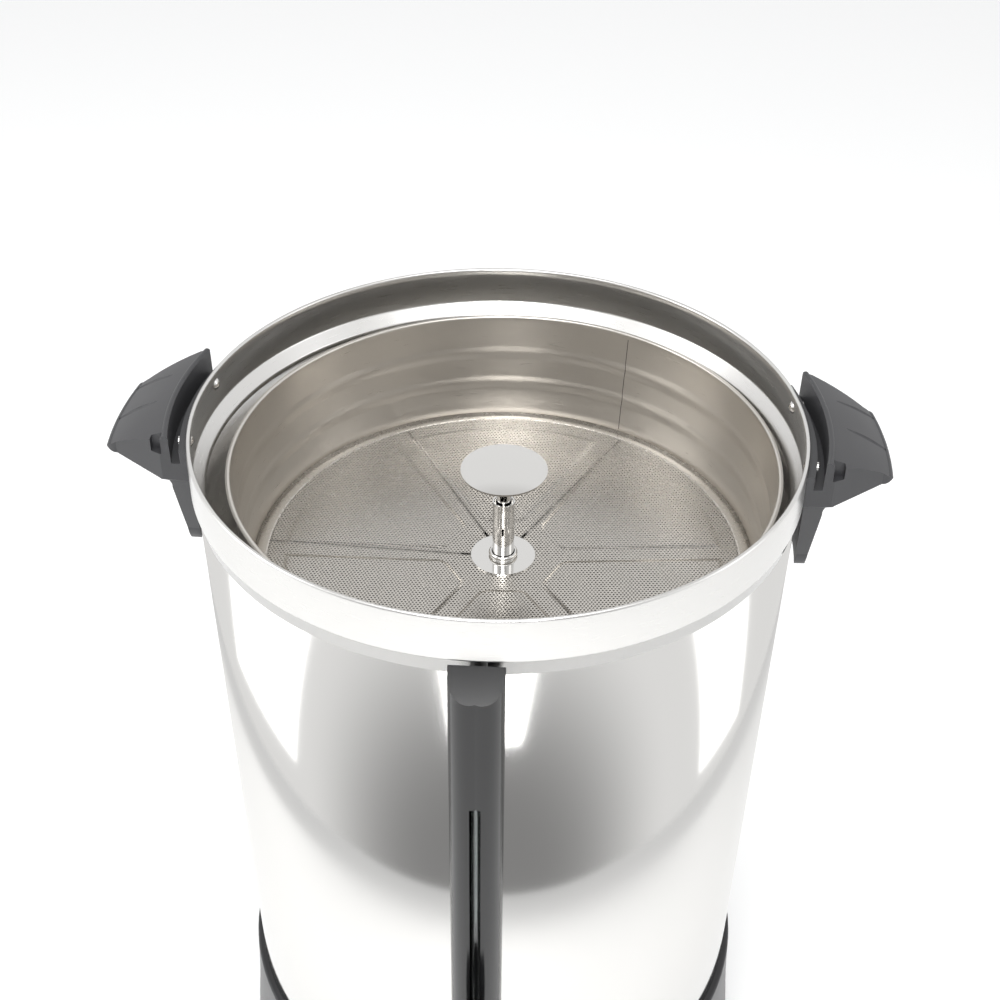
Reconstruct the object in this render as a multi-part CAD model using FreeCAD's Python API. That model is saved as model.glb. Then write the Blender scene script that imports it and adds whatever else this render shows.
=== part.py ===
"""A large percolating coffee urn, open at the top, with its basket and pump tube in place.

Millimetres, +Z up. The origin is on the table under the middle of the vessel, and the tap faces -Y.
"""
import FreeCAD
import Part
import math
import os

V = FreeCAD.Vector

# Vessel, a single wall of thin stainless sheet
RIM_Z = 450.0
RIM_R = 145.0
SHEET = 1.0
HEM_WIDTH = 2.2
HEM_HEIGHT = 4.0
BAND_HEIGHT = 23.0
GROOVE_DEPTH = 5.6
GROOVE_HEIGHT = 8.0
BAND_PROUD = 2.5
WALL_TAPER = 5.5
WALL_FOOT_Z = 88.0
WALL_FOOT_STRAIGHT = 20.0
FLOOR_Z = 100.0
FLOOR_FLANGE = 7.0
WELL_R = 29.0
WELL_DEPTH = 24.0

# Base under the vessel
BASE_TOP_Z = 97.0
BASE_FOOT_Z = 12.0
BASE_FLARE = 7.5
BASE_WALL = 3.0
BASE_LIP = 3.5
COVER_THICK = 2.0
COVER_GAP = 0.4
FOOT_R = 11.0
FOOT_INSET = 30.0
BOSS_INSET = 12.5
FOOT_COUNT = 4
BOSS_R = 5.0
SCREW_R = 2.0
SCREW_HEAD_R = 3.6

# Heater under the vessel floor
HEATER_R = 46.0
HEATER_SECTION = 9.0
KEEP_WARM_R = 84.0
KEEP_WARM_SECTION = 6.0
THERMOSTAT_R = 9.0
THERMOSTAT_HEIGHT = 12.0
FUSE_R = 2.5
FUSE_LENGTH = 22.0
FUSE_CLIP_SHEET = 1.0

# Side handles
HANDLE_TURN = 2.8
GRIP_LENGTH = 28.6
HANDLE_ROOT_HALF = 38.7
HANDLE_TIP_HALF = 26.0
HANDLE_PLATE = 3.4
HANDLE_TOP_DROP = 5.0
HANDLE_DROP = 70.0
HANDLE_SLOT = 4.0
HANDLE_SLOT_DEPTH = 12.0
GRIP_ROOT_RISE = 1.6
GRIP_ROOT_THICK = 22.0
LEG_THICK = 9.0
LEG_FOOT_THICK = 5.0
LEG_TOP_HALF = 35.0
LEG_FOOT_HALF = 24.0
NOTCH = 5.0
NOTCH_DROP = 7.0
HANDLE_GAP = 0.1
UPSTAND = 3.0
UPSTAND_TOP = 3.0
GRIP_TIP_DROP = 12.0
GRIP_TIP_THICK = 4.6
GROOVE_ANGLES = (-1.7, 6.6)
RIVET_ANGLE = 9.8
RIVET_DROP = 8.5
RIVET_R = 2.0
RIVET_HEAD_R = 3.2
RIVET_HEAD = 1.6

# Coffee basket
BASKET_SHIFT = 3.0
BASKET_RIM_INSET = 13.0
BASKET_RIM_DROP = 21.5
BASKET_DEPTH = 58.0
BASKET_TAPER = 5.5
BASKET_SHEET = 0.8
BASKET_HEM = 2.4
BASKET_MARGIN = 6.5
BASKET_BEAD = 1.0
BASKET_BEAD_DROPS = (21.5, 39.5)
BASKET_BEAD_HEIGHT = 4.0
STRAINER_DISH = 3.6
STRAINER_SHEET = 0.8
PANEL_COUNT = 6
PANEL_START = 33.0
PANEL_RISE = 1.0
PANEL_INNER = 27.0
PANEL_MARGIN = 17.0
SPOKE_WIDTH = 8.5
STRAINER_HOLE = 3.4
STRAINER_RINGS = ((45.0, 12), (62.0, 18), (79.0, 24), (96.0, 30), (113.0, 36))

# Pump tube, its foot, and the spreader cap on top
TUBE_R = 5.4
TUBE_WALL = 0.7
TUBE_TOP_DROP = 49.0
SLEEVE_CLEARANCE = 0.4
SLEEVE_WALL = 0.7
SLEEVE_HEIGHT = 2.6
DISC_R = 16.0
DISC_SHEET = 0.8
SEAT_COLLAR_R = 11.0
SEAT_COLLAR_HEIGHT = 5.0
CAP_R = 21.0
CAP_RISE = 1.6
CAP_SHEET = 0.9
CAP_DROP = 30.0
CAP_STEM_R = 3.6
CAP_STEM_WALL = 0.7
CAP_STEM_PLUG = 14.0
PUMP_FOOT_R = 21.0
PUMP_FOOT_HEIGHT = 26.0
PUMP_FOOT_SHEET = 1.0
VALVE_DISC_R = 8.5
VALVE_DISC_THICK = 1.2
VALVE_TRAVEL = 1.5

# Tap
TAP_Z = 128.0
TAP_REACH = 40.0
SHANK_R = 8.0
WATERWAY_R = 5.0
BARREL_R = 15.0
BARREL_FOOT_Z = 106.0
BARREL_TOP_Z = 146.0
CHAMBER_R = 11.0
SEAT_Z = 113.0
SPOUT_R = 8.0
SPOUT_FOOT_Z = 84.0
BONNET_R = 17.5
BONNET_HEIGHT = 12.0
BONNET_SKIRT = 9.0
STEM_R = 3.6
STEM_TOP_Z = 168.0
RUNNING_GAP = 0.3
SEAL_THICK = 2.5
SEAL_EASE = 0.15
SEAL_R = 14.0
NUT_FLATS = 26.0
NUT_THICK = 8.0
CUP_R = 9.5
CUP_HEIGHT = 8.0
PIN_R = 1.6
PIN_RUNNING = 0.05
PIN_Z = 163.0
LEVER_TILT = 35.0
LIFT_RADIUS = 6.5
HEEL_BACK = 6.0
LEVER_CHEEK = 3.6
LEVER_WIDTH = 22.0
LEVER_THICK = 8.0
LEVER_TOP_Z = 222.0

# Level gauge above the tap
GAUGE_WIDTH = 24.0
GAUGE_DEPTH = 12.0
GAUGE_TOP_DROP = 24.5
GAUGE_FOOT_Z = 152.0
GAUGE_STANDOFF = 1.2
GLASS_R = 3.8
GLASS_WALL = 1.0
GLASS_GAP = 0.4
SLOT_WIDTH = 5.0
SLOT_FOOT_Z = 176.0
SLOT_TOP_Z = 352.0

# Controls and power inlet on the base
PANEL_Z = 54.0
LAMP_R = 5.0
LAMP_ANGLES = (-18.0, 18.0)
SWITCH_ANGLE = 48.0
SWITCH_WIDTH = 14.0
SWITCH_HEIGHT = 22.0
SWITCH_BEZEL = 2.0
SWITCH_DEPTH = 16.0
ROCKER_TILT = 9.0
INLET_WIDTH = 30.0
INLET_HEIGHT = 22.0
INLET_DEPTH = 20.0
INLET_PROUD = 1.0
SOCKET_WIDTH = 24.0
SOCKET_HEIGHT = 16.0
SOCKET_DEPTH = 16.0
BLADE_WIDTH = 4.0
BLADE_THICK = 2.0
BLADE_PITCH = 7.0

WALL_TOP_R = RIM_R - BAND_PROUD
WALL_FOOT_R = WALL_TOP_R - WALL_TAPER
WALL_IN_FOOT_R = WALL_FOOT_R - SHEET
BAND_FOOT_Z = RIM_Z - BAND_HEIGHT
WALL_TOP_Z = BAND_FOOT_Z - GROOVE_HEIGHT
RIM_IN_R = RIM_R - HEM_WIDTH
HANDLE_IN_R = RIM_R + HANDLE_GAP
HANDLE_PLATE_R = HANDLE_IN_R + HANDLE_PLATE
UPSTAND_IN_R = HANDLE_PLATE_R + HANDLE_SLOT
UPSTAND_OUT_R = UPSTAND_IN_R + UPSTAND
BASE_FOOT_R = WALL_FOOT_R + BASE_FLARE
BASKET_RIM_R = RIM_R - BASKET_RIM_INSET
BASKET_FOOT_R = BASKET_RIM_R - BASKET_TAPER
PANEL_OUTER = BASKET_FOOT_R - PANEL_MARGIN
BASKET_RIM_Z = RIM_Z - BASKET_RIM_DROP
BASKET_FOOT_Z = BASKET_RIM_Z - BASKET_DEPTH
STRAINER_R = BASKET_FOOT_R - BASKET_SHEET
STRAINER_MID_Z = BASKET_FOOT_Z - STRAINER_DISH
SLEEVE_IN_R = TUBE_R + SLEEVE_CLEARANCE
SLEEVE_OUT_R = SLEEVE_IN_R + SLEEVE_WALL
WELL_FLOOR_Z = FLOOR_Z - WELL_DEPTH
TAP_Y = -(WALL_FOOT_R + TAP_REACH)
AXIS_Y = (BONNET_R - TAP_Y - BASE_FOOT_R - INLET_PROUD) / 2
COVER_Z = BASE_FOOT_Z - COVER_THICK

made = {}


def keep(name, shape):
    """Keeps one piece under the name of its node, with the origin under the middle of the outline."""
    made[name] = shape.translated(V(0, AXIS_Y, 0))


def outline(start, *steps):
    """A closed face in the XZ plane. A step (x, z) is a line, and (mx, mz, x, z) an arc through (mx, mz)."""
    here = V(start[0], 0, start[1])
    edges = []
    for step in list(steps) + [start]:
        end = V(step[-2], 0, step[-1])
        if len(step) == 4:
            edges.append(Part.Arc(here, V(step[0], 0, step[1]), end).toShape())
        elif end.distanceToPoint(here) > 0.000001:
            edges.append(Part.LineSegment(here, end).toShape())
        here = end
    return Part.Face(Part.Wire(edges))


def turned(face, x=0.0, y=0.0, angle=360.0, start=0.0):
    """A profile revolved about the vertical axis, then moved."""
    solid = face.revolve(V(0, 0, 0), V(0, 0, 1), angle)
    solid.rotate(V(0, 0, 0), V(0, 0, 1), start)
    solid.translate(V(x, y, 0))
    return solid


def ring(r_out, r_in, z0, z1, x=0.0, y=0.0):
    """A plain upright tube."""
    return turned(outline((r_in, z0), (r_out, z0), (r_out, z1), (r_in, z1)), x, y)


def rod(r, z0, z1, x=0.0, y=0.0):
    """A plain upright rod."""
    return Part.makeCylinder(r, z1 - z0, V(x, y, z0))


def bar(r, y0, y1, x, z):
    """A rod that lies along Y."""
    return Part.makeCylinder(r, y1 - y0, V(x, y0, z), V(0, 1, 0))


def block(x0, x1, y0, y1, z0, z1):
    """A box between two corners."""
    return Part.makeBox(x1 - x0, y1 - y0, z1 - z0, V(x0, y0, z0))


def prism(points, z0, z1):
    """An upright prism on a plan outline, whose steps are as in outline."""
    face = outline(*points)
    face.rotate(V(0, 0, 0), V(1, 0, 0), -90)
    face.translate(V(0, 0, z0))
    return face.extrude(V(0, 0, z1 - z0))


def about_axis(shape, angle):
    """A copy turned about the urn's axis."""
    copy = shape.copy()
    copy.rotate(V(0, 0, 0), V(0, 0, 1), angle)
    return copy


def group(shapes):
    """Separate solids that share a node."""
    return Part.makeCompound(shapes)


def wall_radius(z):
    """Outside radius of the vessel's wall at a height."""
    straight_z = WALL_FOOT_Z + WALL_FOOT_STRAIGHT
    if z <= straight_z:
        return WALL_FOOT_R
    return WALL_FOOT_R + (WALL_TOP_R - WALL_FOOT_R) * (z - straight_z) / (WALL_TOP_Z - straight_z)


def vessel_wall():
    """Tapered wall, and the collar welded on to it, with the ledge that carries the lid and a hemmed rim."""
    out_r = RIM_R
    hem_z = RIM_Z - HEM_HEIGHT
    groove_r = RIM_R - GROOVE_DEPTH
    mid_z = BAND_FOOT_Z - GROOVE_HEIGHT / 2
    corner = 2.0
    half = GROOVE_HEIGHT / 4
    straight_z = WALL_FOOT_Z + WALL_FOOT_STRAIGHT
    inner = SHEET
    face = outline(
        (WALL_FOOT_R, WALL_FOOT_Z),
        (WALL_FOOT_R, straight_z),
        (WALL_TOP_R, WALL_TOP_Z),
        (groove_r + SHEET, mid_z - half),
        (groove_r, mid_z, groove_r + SHEET, mid_z + half),
        (out_r - corner, BAND_FOOT_Z - 0.4),
        (out_r - 0.5, BAND_FOOT_Z + 0.5, out_r, BAND_FOOT_Z + corner),
        (out_r, RIM_Z - HEM_WIDTH / 2),
        (out_r - HEM_WIDTH / 2, RIM_Z, RIM_IN_R, RIM_Z - HEM_WIDTH / 2),
        (RIM_IN_R, hem_z),
        (out_r - inner, hem_z - 1.0),
        (out_r - inner, BAND_FOOT_Z + 3.4),
        (groove_r + 1.6, mid_z + half + 1.3),
        (groove_r - inner, mid_z, groove_r + 1.2, mid_z - half - 1.3),
        (WALL_TOP_R - inner, WALL_TOP_Z - 1.0),
        (WALL_FOOT_R - inner, straight_z),
        (WALL_FOOT_R - inner, WALL_FOOT_Z),
    )
    wall = turned(face)
    for angle in (HANDLE_TURN - RIVET_ANGLE, HANDLE_TURN + RIVET_ANGLE):
        hole = Part.makeCylinder(RIVET_R, 12, V(RIM_R - 8, 0, RIM_Z - RIVET_DROP), V(1, 0, 0))
        hole = about_axis(hole, angle)
        wall = wall.cut(hole).cut(hole.mirror(V(0, 0, 0), V(1, 0, 0)))
    tap_hole = bar(SHANK_R, -WALL_FOOT_R - 10, -WALL_FOOT_R + 10, 0, TAP_Z)
    wall = wall.cut(tap_hole)
    upper = rod(RIM_R + 5, WALL_TOP_Z, RIM_Z + 5)
    keep("collar", wall.common(upper))
    keep("vessel_wall", wall.cut(upper))


def vessel_floor():
    """Drawn floor with a turned-up flange and the heating well in its middle."""
    r = WALL_IN_FOOT_R
    fold = 3.0
    face = outline(
        (WELL_R, WELL_FLOOR_Z - SHEET),
        (WELL_R, FLOOR_Z - SHEET),
        (r - fold, FLOOR_Z - SHEET),
        (r - 0.9, FLOOR_Z - 0.1, r, FLOOR_Z + fold),
        (r, FLOOR_Z + FLOOR_FLANGE),
        (r - SHEET, FLOOR_Z + FLOOR_FLANGE),
        (r - SHEET, FLOOR_Z + fold),
        (r - fold, FLOOR_Z),
        (WELL_R - SHEET, FLOOR_Z),
        (WELL_R - SHEET, WELL_FLOOR_Z),
        (0, WELL_FLOOR_Z),
        (0, WELL_FLOOR_Z - SHEET),
    )
    return turned(face)


def under_floor():
    """Main heater round the well, keep-warm heater, thermostat and thermal fuse on the floor's underside."""
    top = FLOOR_Z - SHEET
    keep("heater_ring", ring(HEATER_R, WELL_R, top - HEATER_SECTION, top))
    warm = ring(KEEP_WARM_R, KEEP_WARM_R - KEEP_WARM_SECTION, top - KEEP_WARM_SECTION, top)
    keep("keep_warm_ring", warm)
    x = (HEATER_R + KEEP_WARM_R - KEEP_WARM_SECTION) / 2
    body = rod(THERMOSTAT_R, top - THERMOSTAT_HEIGHT * 0.7, top, x, 0)
    neck = rod(THERMOSTAT_R * 0.6, top - THERMOSTAT_HEIGHT, top - THERMOSTAT_HEIGHT * 0.7, x, 0)
    keep("brew_thermostat", body.fuse(neck).removeSplitter())
    half = FUSE_LENGTH / 2
    cover = FUSE_CLIP_SHEET
    fuse_z = top - FUSE_R - cover
    fuse = Part.makeCylinder(FUSE_R, FUSE_LENGTH, V(-x - half, 0, fuse_z), V(1, 0, 0))
    clip = block(-x - 4, -x + 4, -FUSE_R - cover, FUSE_R + cover, fuse_z - FUSE_R - cover, top)
    keep("fuse_clip", clip.cut(fuse))
    keep("thermal_fuse", fuse)


def base():
    """Moulded base skirt with a seat for the vessel, the cover under it, its screws and the feet."""
    lip_r = WALL_FOOT_R + BASE_LIP
    seat_in = WALL_IN_FOOT_R - 4.0
    t = BASE_WALL
    face = outline(
        (BASE_FOOT_R, BASE_FOOT_Z),
        (BASE_FOOT_R, BASE_FOOT_Z + 22),
        (lip_r + 1.0, BASE_FOOT_Z + 60, lip_r, BASE_TOP_Z - 1.5),
        (lip_r - 0.5, BASE_TOP_Z - 0.4, lip_r - 1.5, BASE_TOP_Z),
        (WALL_FOOT_R, BASE_TOP_Z),
        (WALL_FOOT_R, WALL_FOOT_Z),
        (seat_in, WALL_FOOT_Z),
        (seat_in, WALL_FOOT_Z - t),
        (lip_r - t - 1.0, WALL_FOOT_Z - t - 2.0),
        (BASE_FOOT_R - t, BASE_FOOT_Z + 22),
        (BASE_FOOT_R - t, BASE_FOOT_Z),
    )
    skirt = turned(face)
    boss_r = BASE_FOOT_R - BOSS_INSET
    for i in range(FOOT_COUNT):
        angle = 360 * i / FOOT_COUNT + 22.5
        boss = rod(BOSS_R, BASE_FOOT_Z, WALL_FOOT_Z - t, boss_r, 0)
        boss = boss.cut(rod(SCREW_R, BASE_FOOT_Z - 1, BASE_FOOT_Z + 14, boss_r, 0))
        skirt = skirt.fuse(about_axis(boss, angle))
    skirt = skirt.removeSplitter()
    for angle in LAMP_ANGLES:
        hole = bar(LAMP_R, -BASE_FOOT_R - 5, -BASE_FOOT_R + 12, 0, PANEL_Z)
        skirt = skirt.cut(about_axis(hole, angle))
    half_w = SWITCH_WIDTH / 2 + SWITCH_BEZEL
    half_h = SWITCH_HEIGHT / 2 + SWITCH_BEZEL
    window = block(-half_w, half_w, -BASE_FOOT_R - 5, -BASE_FOOT_R + 14, PANEL_Z - half_h, PANEL_Z + half_h)
    skirt = skirt.cut(about_axis(window, SWITCH_ANGLE))
    half_w = INLET_WIDTH / 2
    half_h = INLET_HEIGHT / 2
    window = block(-half_w, half_w, BASE_FOOT_R - 14, BASE_FOOT_R + 5, PANEL_Z - half_h, PANEL_Z + half_h)
    keep("base_skirt", skirt.cut(window))

    cover = rod(BASE_FOOT_R - t - COVER_GAP, COVER_Z, BASE_FOOT_Z)
    screws = []
    feet = []
    for i in range(FOOT_COUNT):
        angle = 360 * i / FOOT_COUNT + 22.5
        cover = cover.cut(about_axis(rod(SCREW_R, COVER_Z - 1, BASE_FOOT_Z + 1, boss_r, 0), angle))
        shank = rod(SCREW_R, COVER_Z, BASE_FOOT_Z + 12, boss_r, 0)
        head = rod(SCREW_HEAD_R, COVER_Z - 2, COVER_Z, boss_r, 0)
        screws.append(about_axis(shank.fuse(head).removeSplitter(), angle))
        pad = turned(outline((0, 0), (FOOT_R - 1, 0), (FOOT_R, 1), (FOOT_R + 1, COVER_Z), (0, COVER_Z)))
        pad.translate(V(BASE_FOOT_R - BASE_FLARE - FOOT_INSET, 0, 0))
        feet.append(about_axis(pad, angle + 45))
    vents = []
    for i in range(-3, 4):
        vents.append(block(-30, 30, 8 * i - 1.5, 8 * i + 1.5, COVER_Z - 1, BASE_FOOT_Z + 1))
    keep("base_cover", cover.cut(group(vents)))
    keep("cover_screws", group(screws))
    keep("feet", group(feet))


def handle():
    """One side handle on +X: a back plate with its leg, a slot, the upstand, and the grooved grip."""
    top = RIM_Z - HANDLE_TOP_DROP
    slot_z = RIM_Z - HANDLE_SLOT_DEPTH
    foot_z = RIM_Z - HANDLE_DROP
    crest_z = RIM_Z + UPSTAND_TOP
    root_z = RIM_Z + GRIP_ROOT_RISE
    tip_z = RIM_Z - GRIP_TIP_DROP
    under_z = tip_z - GRIP_TIP_THICK
    arch_z = root_z - GRIP_ROOT_THICK
    tip = UPSTAND_OUT_R + GRIP_LENGTH
    leg_r = HANDLE_IN_R + LEG_THICK
    leg_foot_r = HANDLE_IN_R + LEG_FOOT_THICK
    swell = 0.45 * (root_z - tip_z)
    profile = outline(
        (HANDLE_IN_R, top),
        (HANDLE_IN_R, foot_z + 1.5),
        (HANDLE_IN_R + 1.0, foot_z + 0.2, HANDLE_IN_R + 2.5, foot_z),
        (leg_foot_r - 0.6, foot_z + 0.9, leg_foot_r, foot_z + 3.5),
        (leg_r, arch_z - 9.0),
        (leg_r + 1.5, arch_z - 3.2, leg_r + 6.0, arch_z - 0.5),
        (tip - 5.0, under_z + 0.6),
        (tip - 1.1, under_z + 1.8, tip, tip_z - 1.6),
        (tip - 0.5, tip_z - 0.5, tip - 2.0, tip_z),
        (tip - GRIP_LENGTH / 2, tip_z + swell + 1.5, UPSTAND_OUT_R, root_z),
        (UPSTAND_OUT_R - 0.2, crest_z - 0.6),
        (UPSTAND_OUT_R - 1.4, crest_z, UPSTAND_IN_R + 0.3, crest_z - 0.7),
        (UPSTAND_IN_R, slot_z),
        (HANDLE_PLATE_R, slot_z),
        (HANDLE_PLATE_R, top),
    )
    body = turned(profile, angle=50, start=-25)
    root_half = HANDLE_ROOT_HALF
    tip_half = HANDLE_TIP_HALF
    corner = 7.0
    plan = prism(
        [
            (HANDLE_IN_R - 12, -root_half),
            (UPSTAND_IN_R, -root_half),
            (tip - corner, -tip_half - 1.5),
            (tip - 1.5, -tip_half + 0.5, tip + 0.5, -tip_half + corner),
            (tip + 0.5, tip_half - corner),
            (tip - 1.5, tip_half - 0.5, tip - corner, tip_half + 1.5),
            (UPSTAND_IN_R, root_half),
            (HANDLE_IN_R - 12, root_half),
        ],
        foot_z - 5,
        crest_z + 5,
    )
    leg_half = LEG_TOP_HALF
    foot_half = LEG_FOOT_HALF
    shoulder = root_half + 1
    front = outline(
        (-shoulder, crest_z + 2),
        (shoulder, crest_z + 2),
        (shoulder, arch_z),
        (leg_half, arch_z - 4),
        (foot_half + 1, foot_z + 10),
        (foot_half - 1.2, foot_z + 3, foot_half - 8, foot_z - 1),
        (-foot_half + 8, foot_z - 1),
        (-foot_half + 1.2, foot_z + 3, -foot_half - 1, foot_z + 10),
        (-leg_half, arch_z - 4),
        (-shoulder, arch_z),
    )
    front.rotate(V(0, 0, 0), V(0, 0, 1), 90)
    front.translate(V(HANDLE_IN_R - 15, 0, 0))
    body = body.common(plan).common(front.extrude(V(2 * GRIP_LENGTH, 0, 0)))
    notch = block(UPSTAND_IN_R - 1, UPSTAND_OUT_R + 1.5, -root_half - 1, -root_half + NOTCH,
                  RIM_Z - NOTCH_DROP, crest_z + 2)
    body = body.cut(notch)
    for angle in (-RIVET_ANGLE, RIVET_ANGLE):
        hole = Part.makeCylinder(RIVET_R, HANDLE_PLATE_R + 1 - RIM_R, V(RIM_R, 0, RIM_Z - RIVET_DROP), V(1, 0, 0))
        body = body.cut(about_axis(hole, angle))
    length = GRIP_LENGTH - 4.0
    fall = (root_z - tip_z) / GRIP_LENGTH
    for angle in GROOVE_ANGLES:
        start = V(tip - length, 0, root_z - fall * 4.0 + 1.9)
        groove = Part.makeCone(0.9, 1.9, length + 2, start, V(1, 0, -fall * 1.1))
        body = body.cut(about_axis(groove, angle))
    return body


def handles():
    """Both handles, the left a mirror image of the right, and the rivets that hold each to the collar."""
    rivets = []
    for angle in (-RIVET_ANGLE, RIVET_ANGLE):
        z = RIM_Z - RIVET_DROP
        in_r = RIM_R - SHEET
        shank = Part.makeCylinder(RIVET_R, HANDLE_PLATE_R - in_r, V(in_r, 0, z), V(1, 0, 0))
        rise = RIVET_HEAD
        ball_r = (RIVET_HEAD_R ** 2 + rise ** 2) / (2 * rise)
        cap = Part.makeSphere(ball_r, V(in_r - rise + ball_r, 0, z))
        cap = cap.common(block(in_r - rise - 1, in_r + 0.3, -5, 5, z - 5, z + 5))
        tail = Part.makeCylinder(RIVET_HEAD_R - 0.6, 0.8, V(HANDLE_PLATE_R, 0, z), V(1, 0, 0))
        collar_in = ring(RIM_R + 0.2, in_r, z - 8, z + 8)
        shape = shank.fuse([cap.cut(collar_in), tail]).removeSplitter()
        rivets.append(about_axis(shape, angle))
    for name, shape in (("handle", handle()), ("rivets", group(rivets))):
        right = about_axis(shape, HANDLE_TURN)
        keep(name + "_right", right)
        keep(name + "_left", right.mirror(V(0, 0, 0), V(1, 0, 0)))


def basket():
    """Basket wall with its hemmed rim and pressed rings, the strainer plate, and the sleeve round the tube."""
    x = BASKET_SHIFT
    top = BASKET_RIM_Z
    foot = BASKET_FOOT_Z
    t = BASKET_SHEET
    hem = BASKET_HEM
    out_r = BASKET_RIM_R - hem + t

    def side(z):
        return BASKET_FOOT_R + (out_r - BASKET_FOOT_R) * (z - foot) / BASKET_DEPTH

    outer = [(out_r, top - hem)]
    inner = []
    for drop in BASKET_BEAD_DROPS:
        z = top - drop
        h = BASKET_BEAD_HEIGHT / 2
        outer.append((side(z + h), z + h))
        outer.append((side(z) + BASKET_BEAD, z, side(z - h), z - h))
        inner.insert(0, (side(z) + BASKET_BEAD - t, z, side(z + h) - t, z + h))
        inner.insert(0, (side(z - h) - t, z - h))
    face = outline(
        (BASKET_RIM_R - hem / 2, top),
        (BASKET_RIM_R, top - hem / 2, BASKET_RIM_R - hem / 2, top - hem),
        *outer,
        (BASKET_FOOT_R, foot),
        (BASKET_FOOT_R - 2.0, foot - 2.0),
        (BASKET_FOOT_R - BASKET_MARGIN, foot - 2.0),
        (BASKET_FOOT_R - BASKET_MARGIN, foot - 2.0 + t),
        (BASKET_FOOT_R - 2.4, foot - 2.0 + t),
        (BASKET_FOOT_R - t, foot),
        *inner,
        (out_r - t, top - hem),
        (out_r - t - 0.2, top - hem / 2, BASKET_RIM_R - hem / 2, top),
    )
    keep("basket_wall", turned(face, x))
    keep("strainer_plate", strainer())

    disc_z = STRAINER_MID_Z
    sleeve_top = disc_z + DISC_SHEET + SLEEVE_HEIGHT
    disc = ring(DISC_R, SLEEVE_OUT_R, disc_z, disc_z + DISC_SHEET, x)
    keep("centre_disc", disc)
    bead = 0.7
    face = outline(
        (SLEEVE_IN_R, disc_z - STRAINER_SHEET - 3.0),
        (SLEEVE_OUT_R, disc_z - STRAINER_SHEET - 3.0),
        (SLEEVE_OUT_R, sleeve_top - 2.4),
        (SLEEVE_OUT_R + bead, sleeve_top - 1.2, SLEEVE_OUT_R, sleeve_top),
        (SLEEVE_IN_R, sleeve_top),
    )
    keep("tube_sleeve", turned(face, x))


def panel_plan(inset):
    """Plan of one strainer panel along +X: straight sides beside the spokes and a straight inner edge."""
    half = math.pi / PANEL_COUNT
    inner = PANEL_INNER + inset
    outer = PANEL_OUTER - inset
    off = SPOKE_WIDTH / 2 + inset
    corner = inner * math.tan(half) - off / math.cos(half)
    ease = 3.0
    reach = math.sqrt(outer ** 2 - off ** 2)
    far_x = reach * math.cos(half) + off * math.sin(half)
    far_y = reach * math.sin(half) - off * math.cos(half)
    side_x = inner + ease * math.cos(half)
    side_y = corner + ease * math.sin(half)
    mid_x = inner + 0.2 * ease
    mid_y = corner - 0.1 * ease
    return prism(
        [
            (inner, -corner + ease),
            (inner, corner - ease),
            (mid_x, mid_y, side_x, side_y),
            (far_x, far_y),
            (outer, 0, far_x, -far_y),
            (side_x, -side_y),
            (mid_x, -mid_y, inner, -corner + ease),
        ],
        STRAINER_MID_Z - 10,
        STRAINER_MID_Z + 20,
    )


def strainer():
    """Dished strainer plate with its raised panels and rings of holes."""
    r = BASKET_FOOT_R - 2.4
    mid = STRAINER_MID_Z
    edge_r = BASKET_FOOT_R - BASKET_MARGIN - 3
    flat_r = DISC_R + 6
    t = STRAINER_SHEET
    edge = BASKET_FOOT_Z - 2.0 + BASKET_SHEET

    def layer(low, high, r_out):
        """A layer that follows the dish, between two heights over its underside."""
        return turned(outline(
            (SLEEVE_OUT_R, mid - t + low),
            (flat_r, mid - t + low),
            (edge_r, edge + low),
            (r_out, edge + low),
            (r_out, edge + high),
            (edge_r, edge + high),
            (flat_r, mid - t + high),
            (SLEEVE_OUT_R, mid - t + high),
        ))

    plate = layer(0, t, r)
    raised = layer(t / 2, t + PANEL_RISE, r)
    below = layer(-1.0, PANEL_RISE, r)
    outer_plan = panel_plan(0)
    inner_plan = panel_plan(t)
    for i in range(PANEL_COUNT):
        angle = PANEL_START + 360 * i / PANEL_COUNT
        plate = plate.fuse(raised.common(about_axis(outer_plan, angle)))
        plate = plate.cut(below.common(about_axis(inner_plan, angle)))
    corner = STRAINER_HOLE / math.sqrt(3)
    holes = []
    for radius, count in STRAINER_RINGS:
        for i in range(count):
            points = []
            for k in range(7):
                a = math.radians(60 * k)
                points.append(V(radius + corner * math.cos(a), corner * math.sin(a), mid - 12))
            hole = Part.Face(Part.makePolygon(points)).extrude(V(0, 0, 30))
            holes.append(about_axis(hole, 360 * (i + 0.5) / count))
    plate = plate.cut(group(holes))
    plate.translate(V(BASKET_SHIFT, 0, 0))
    return plate


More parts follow.
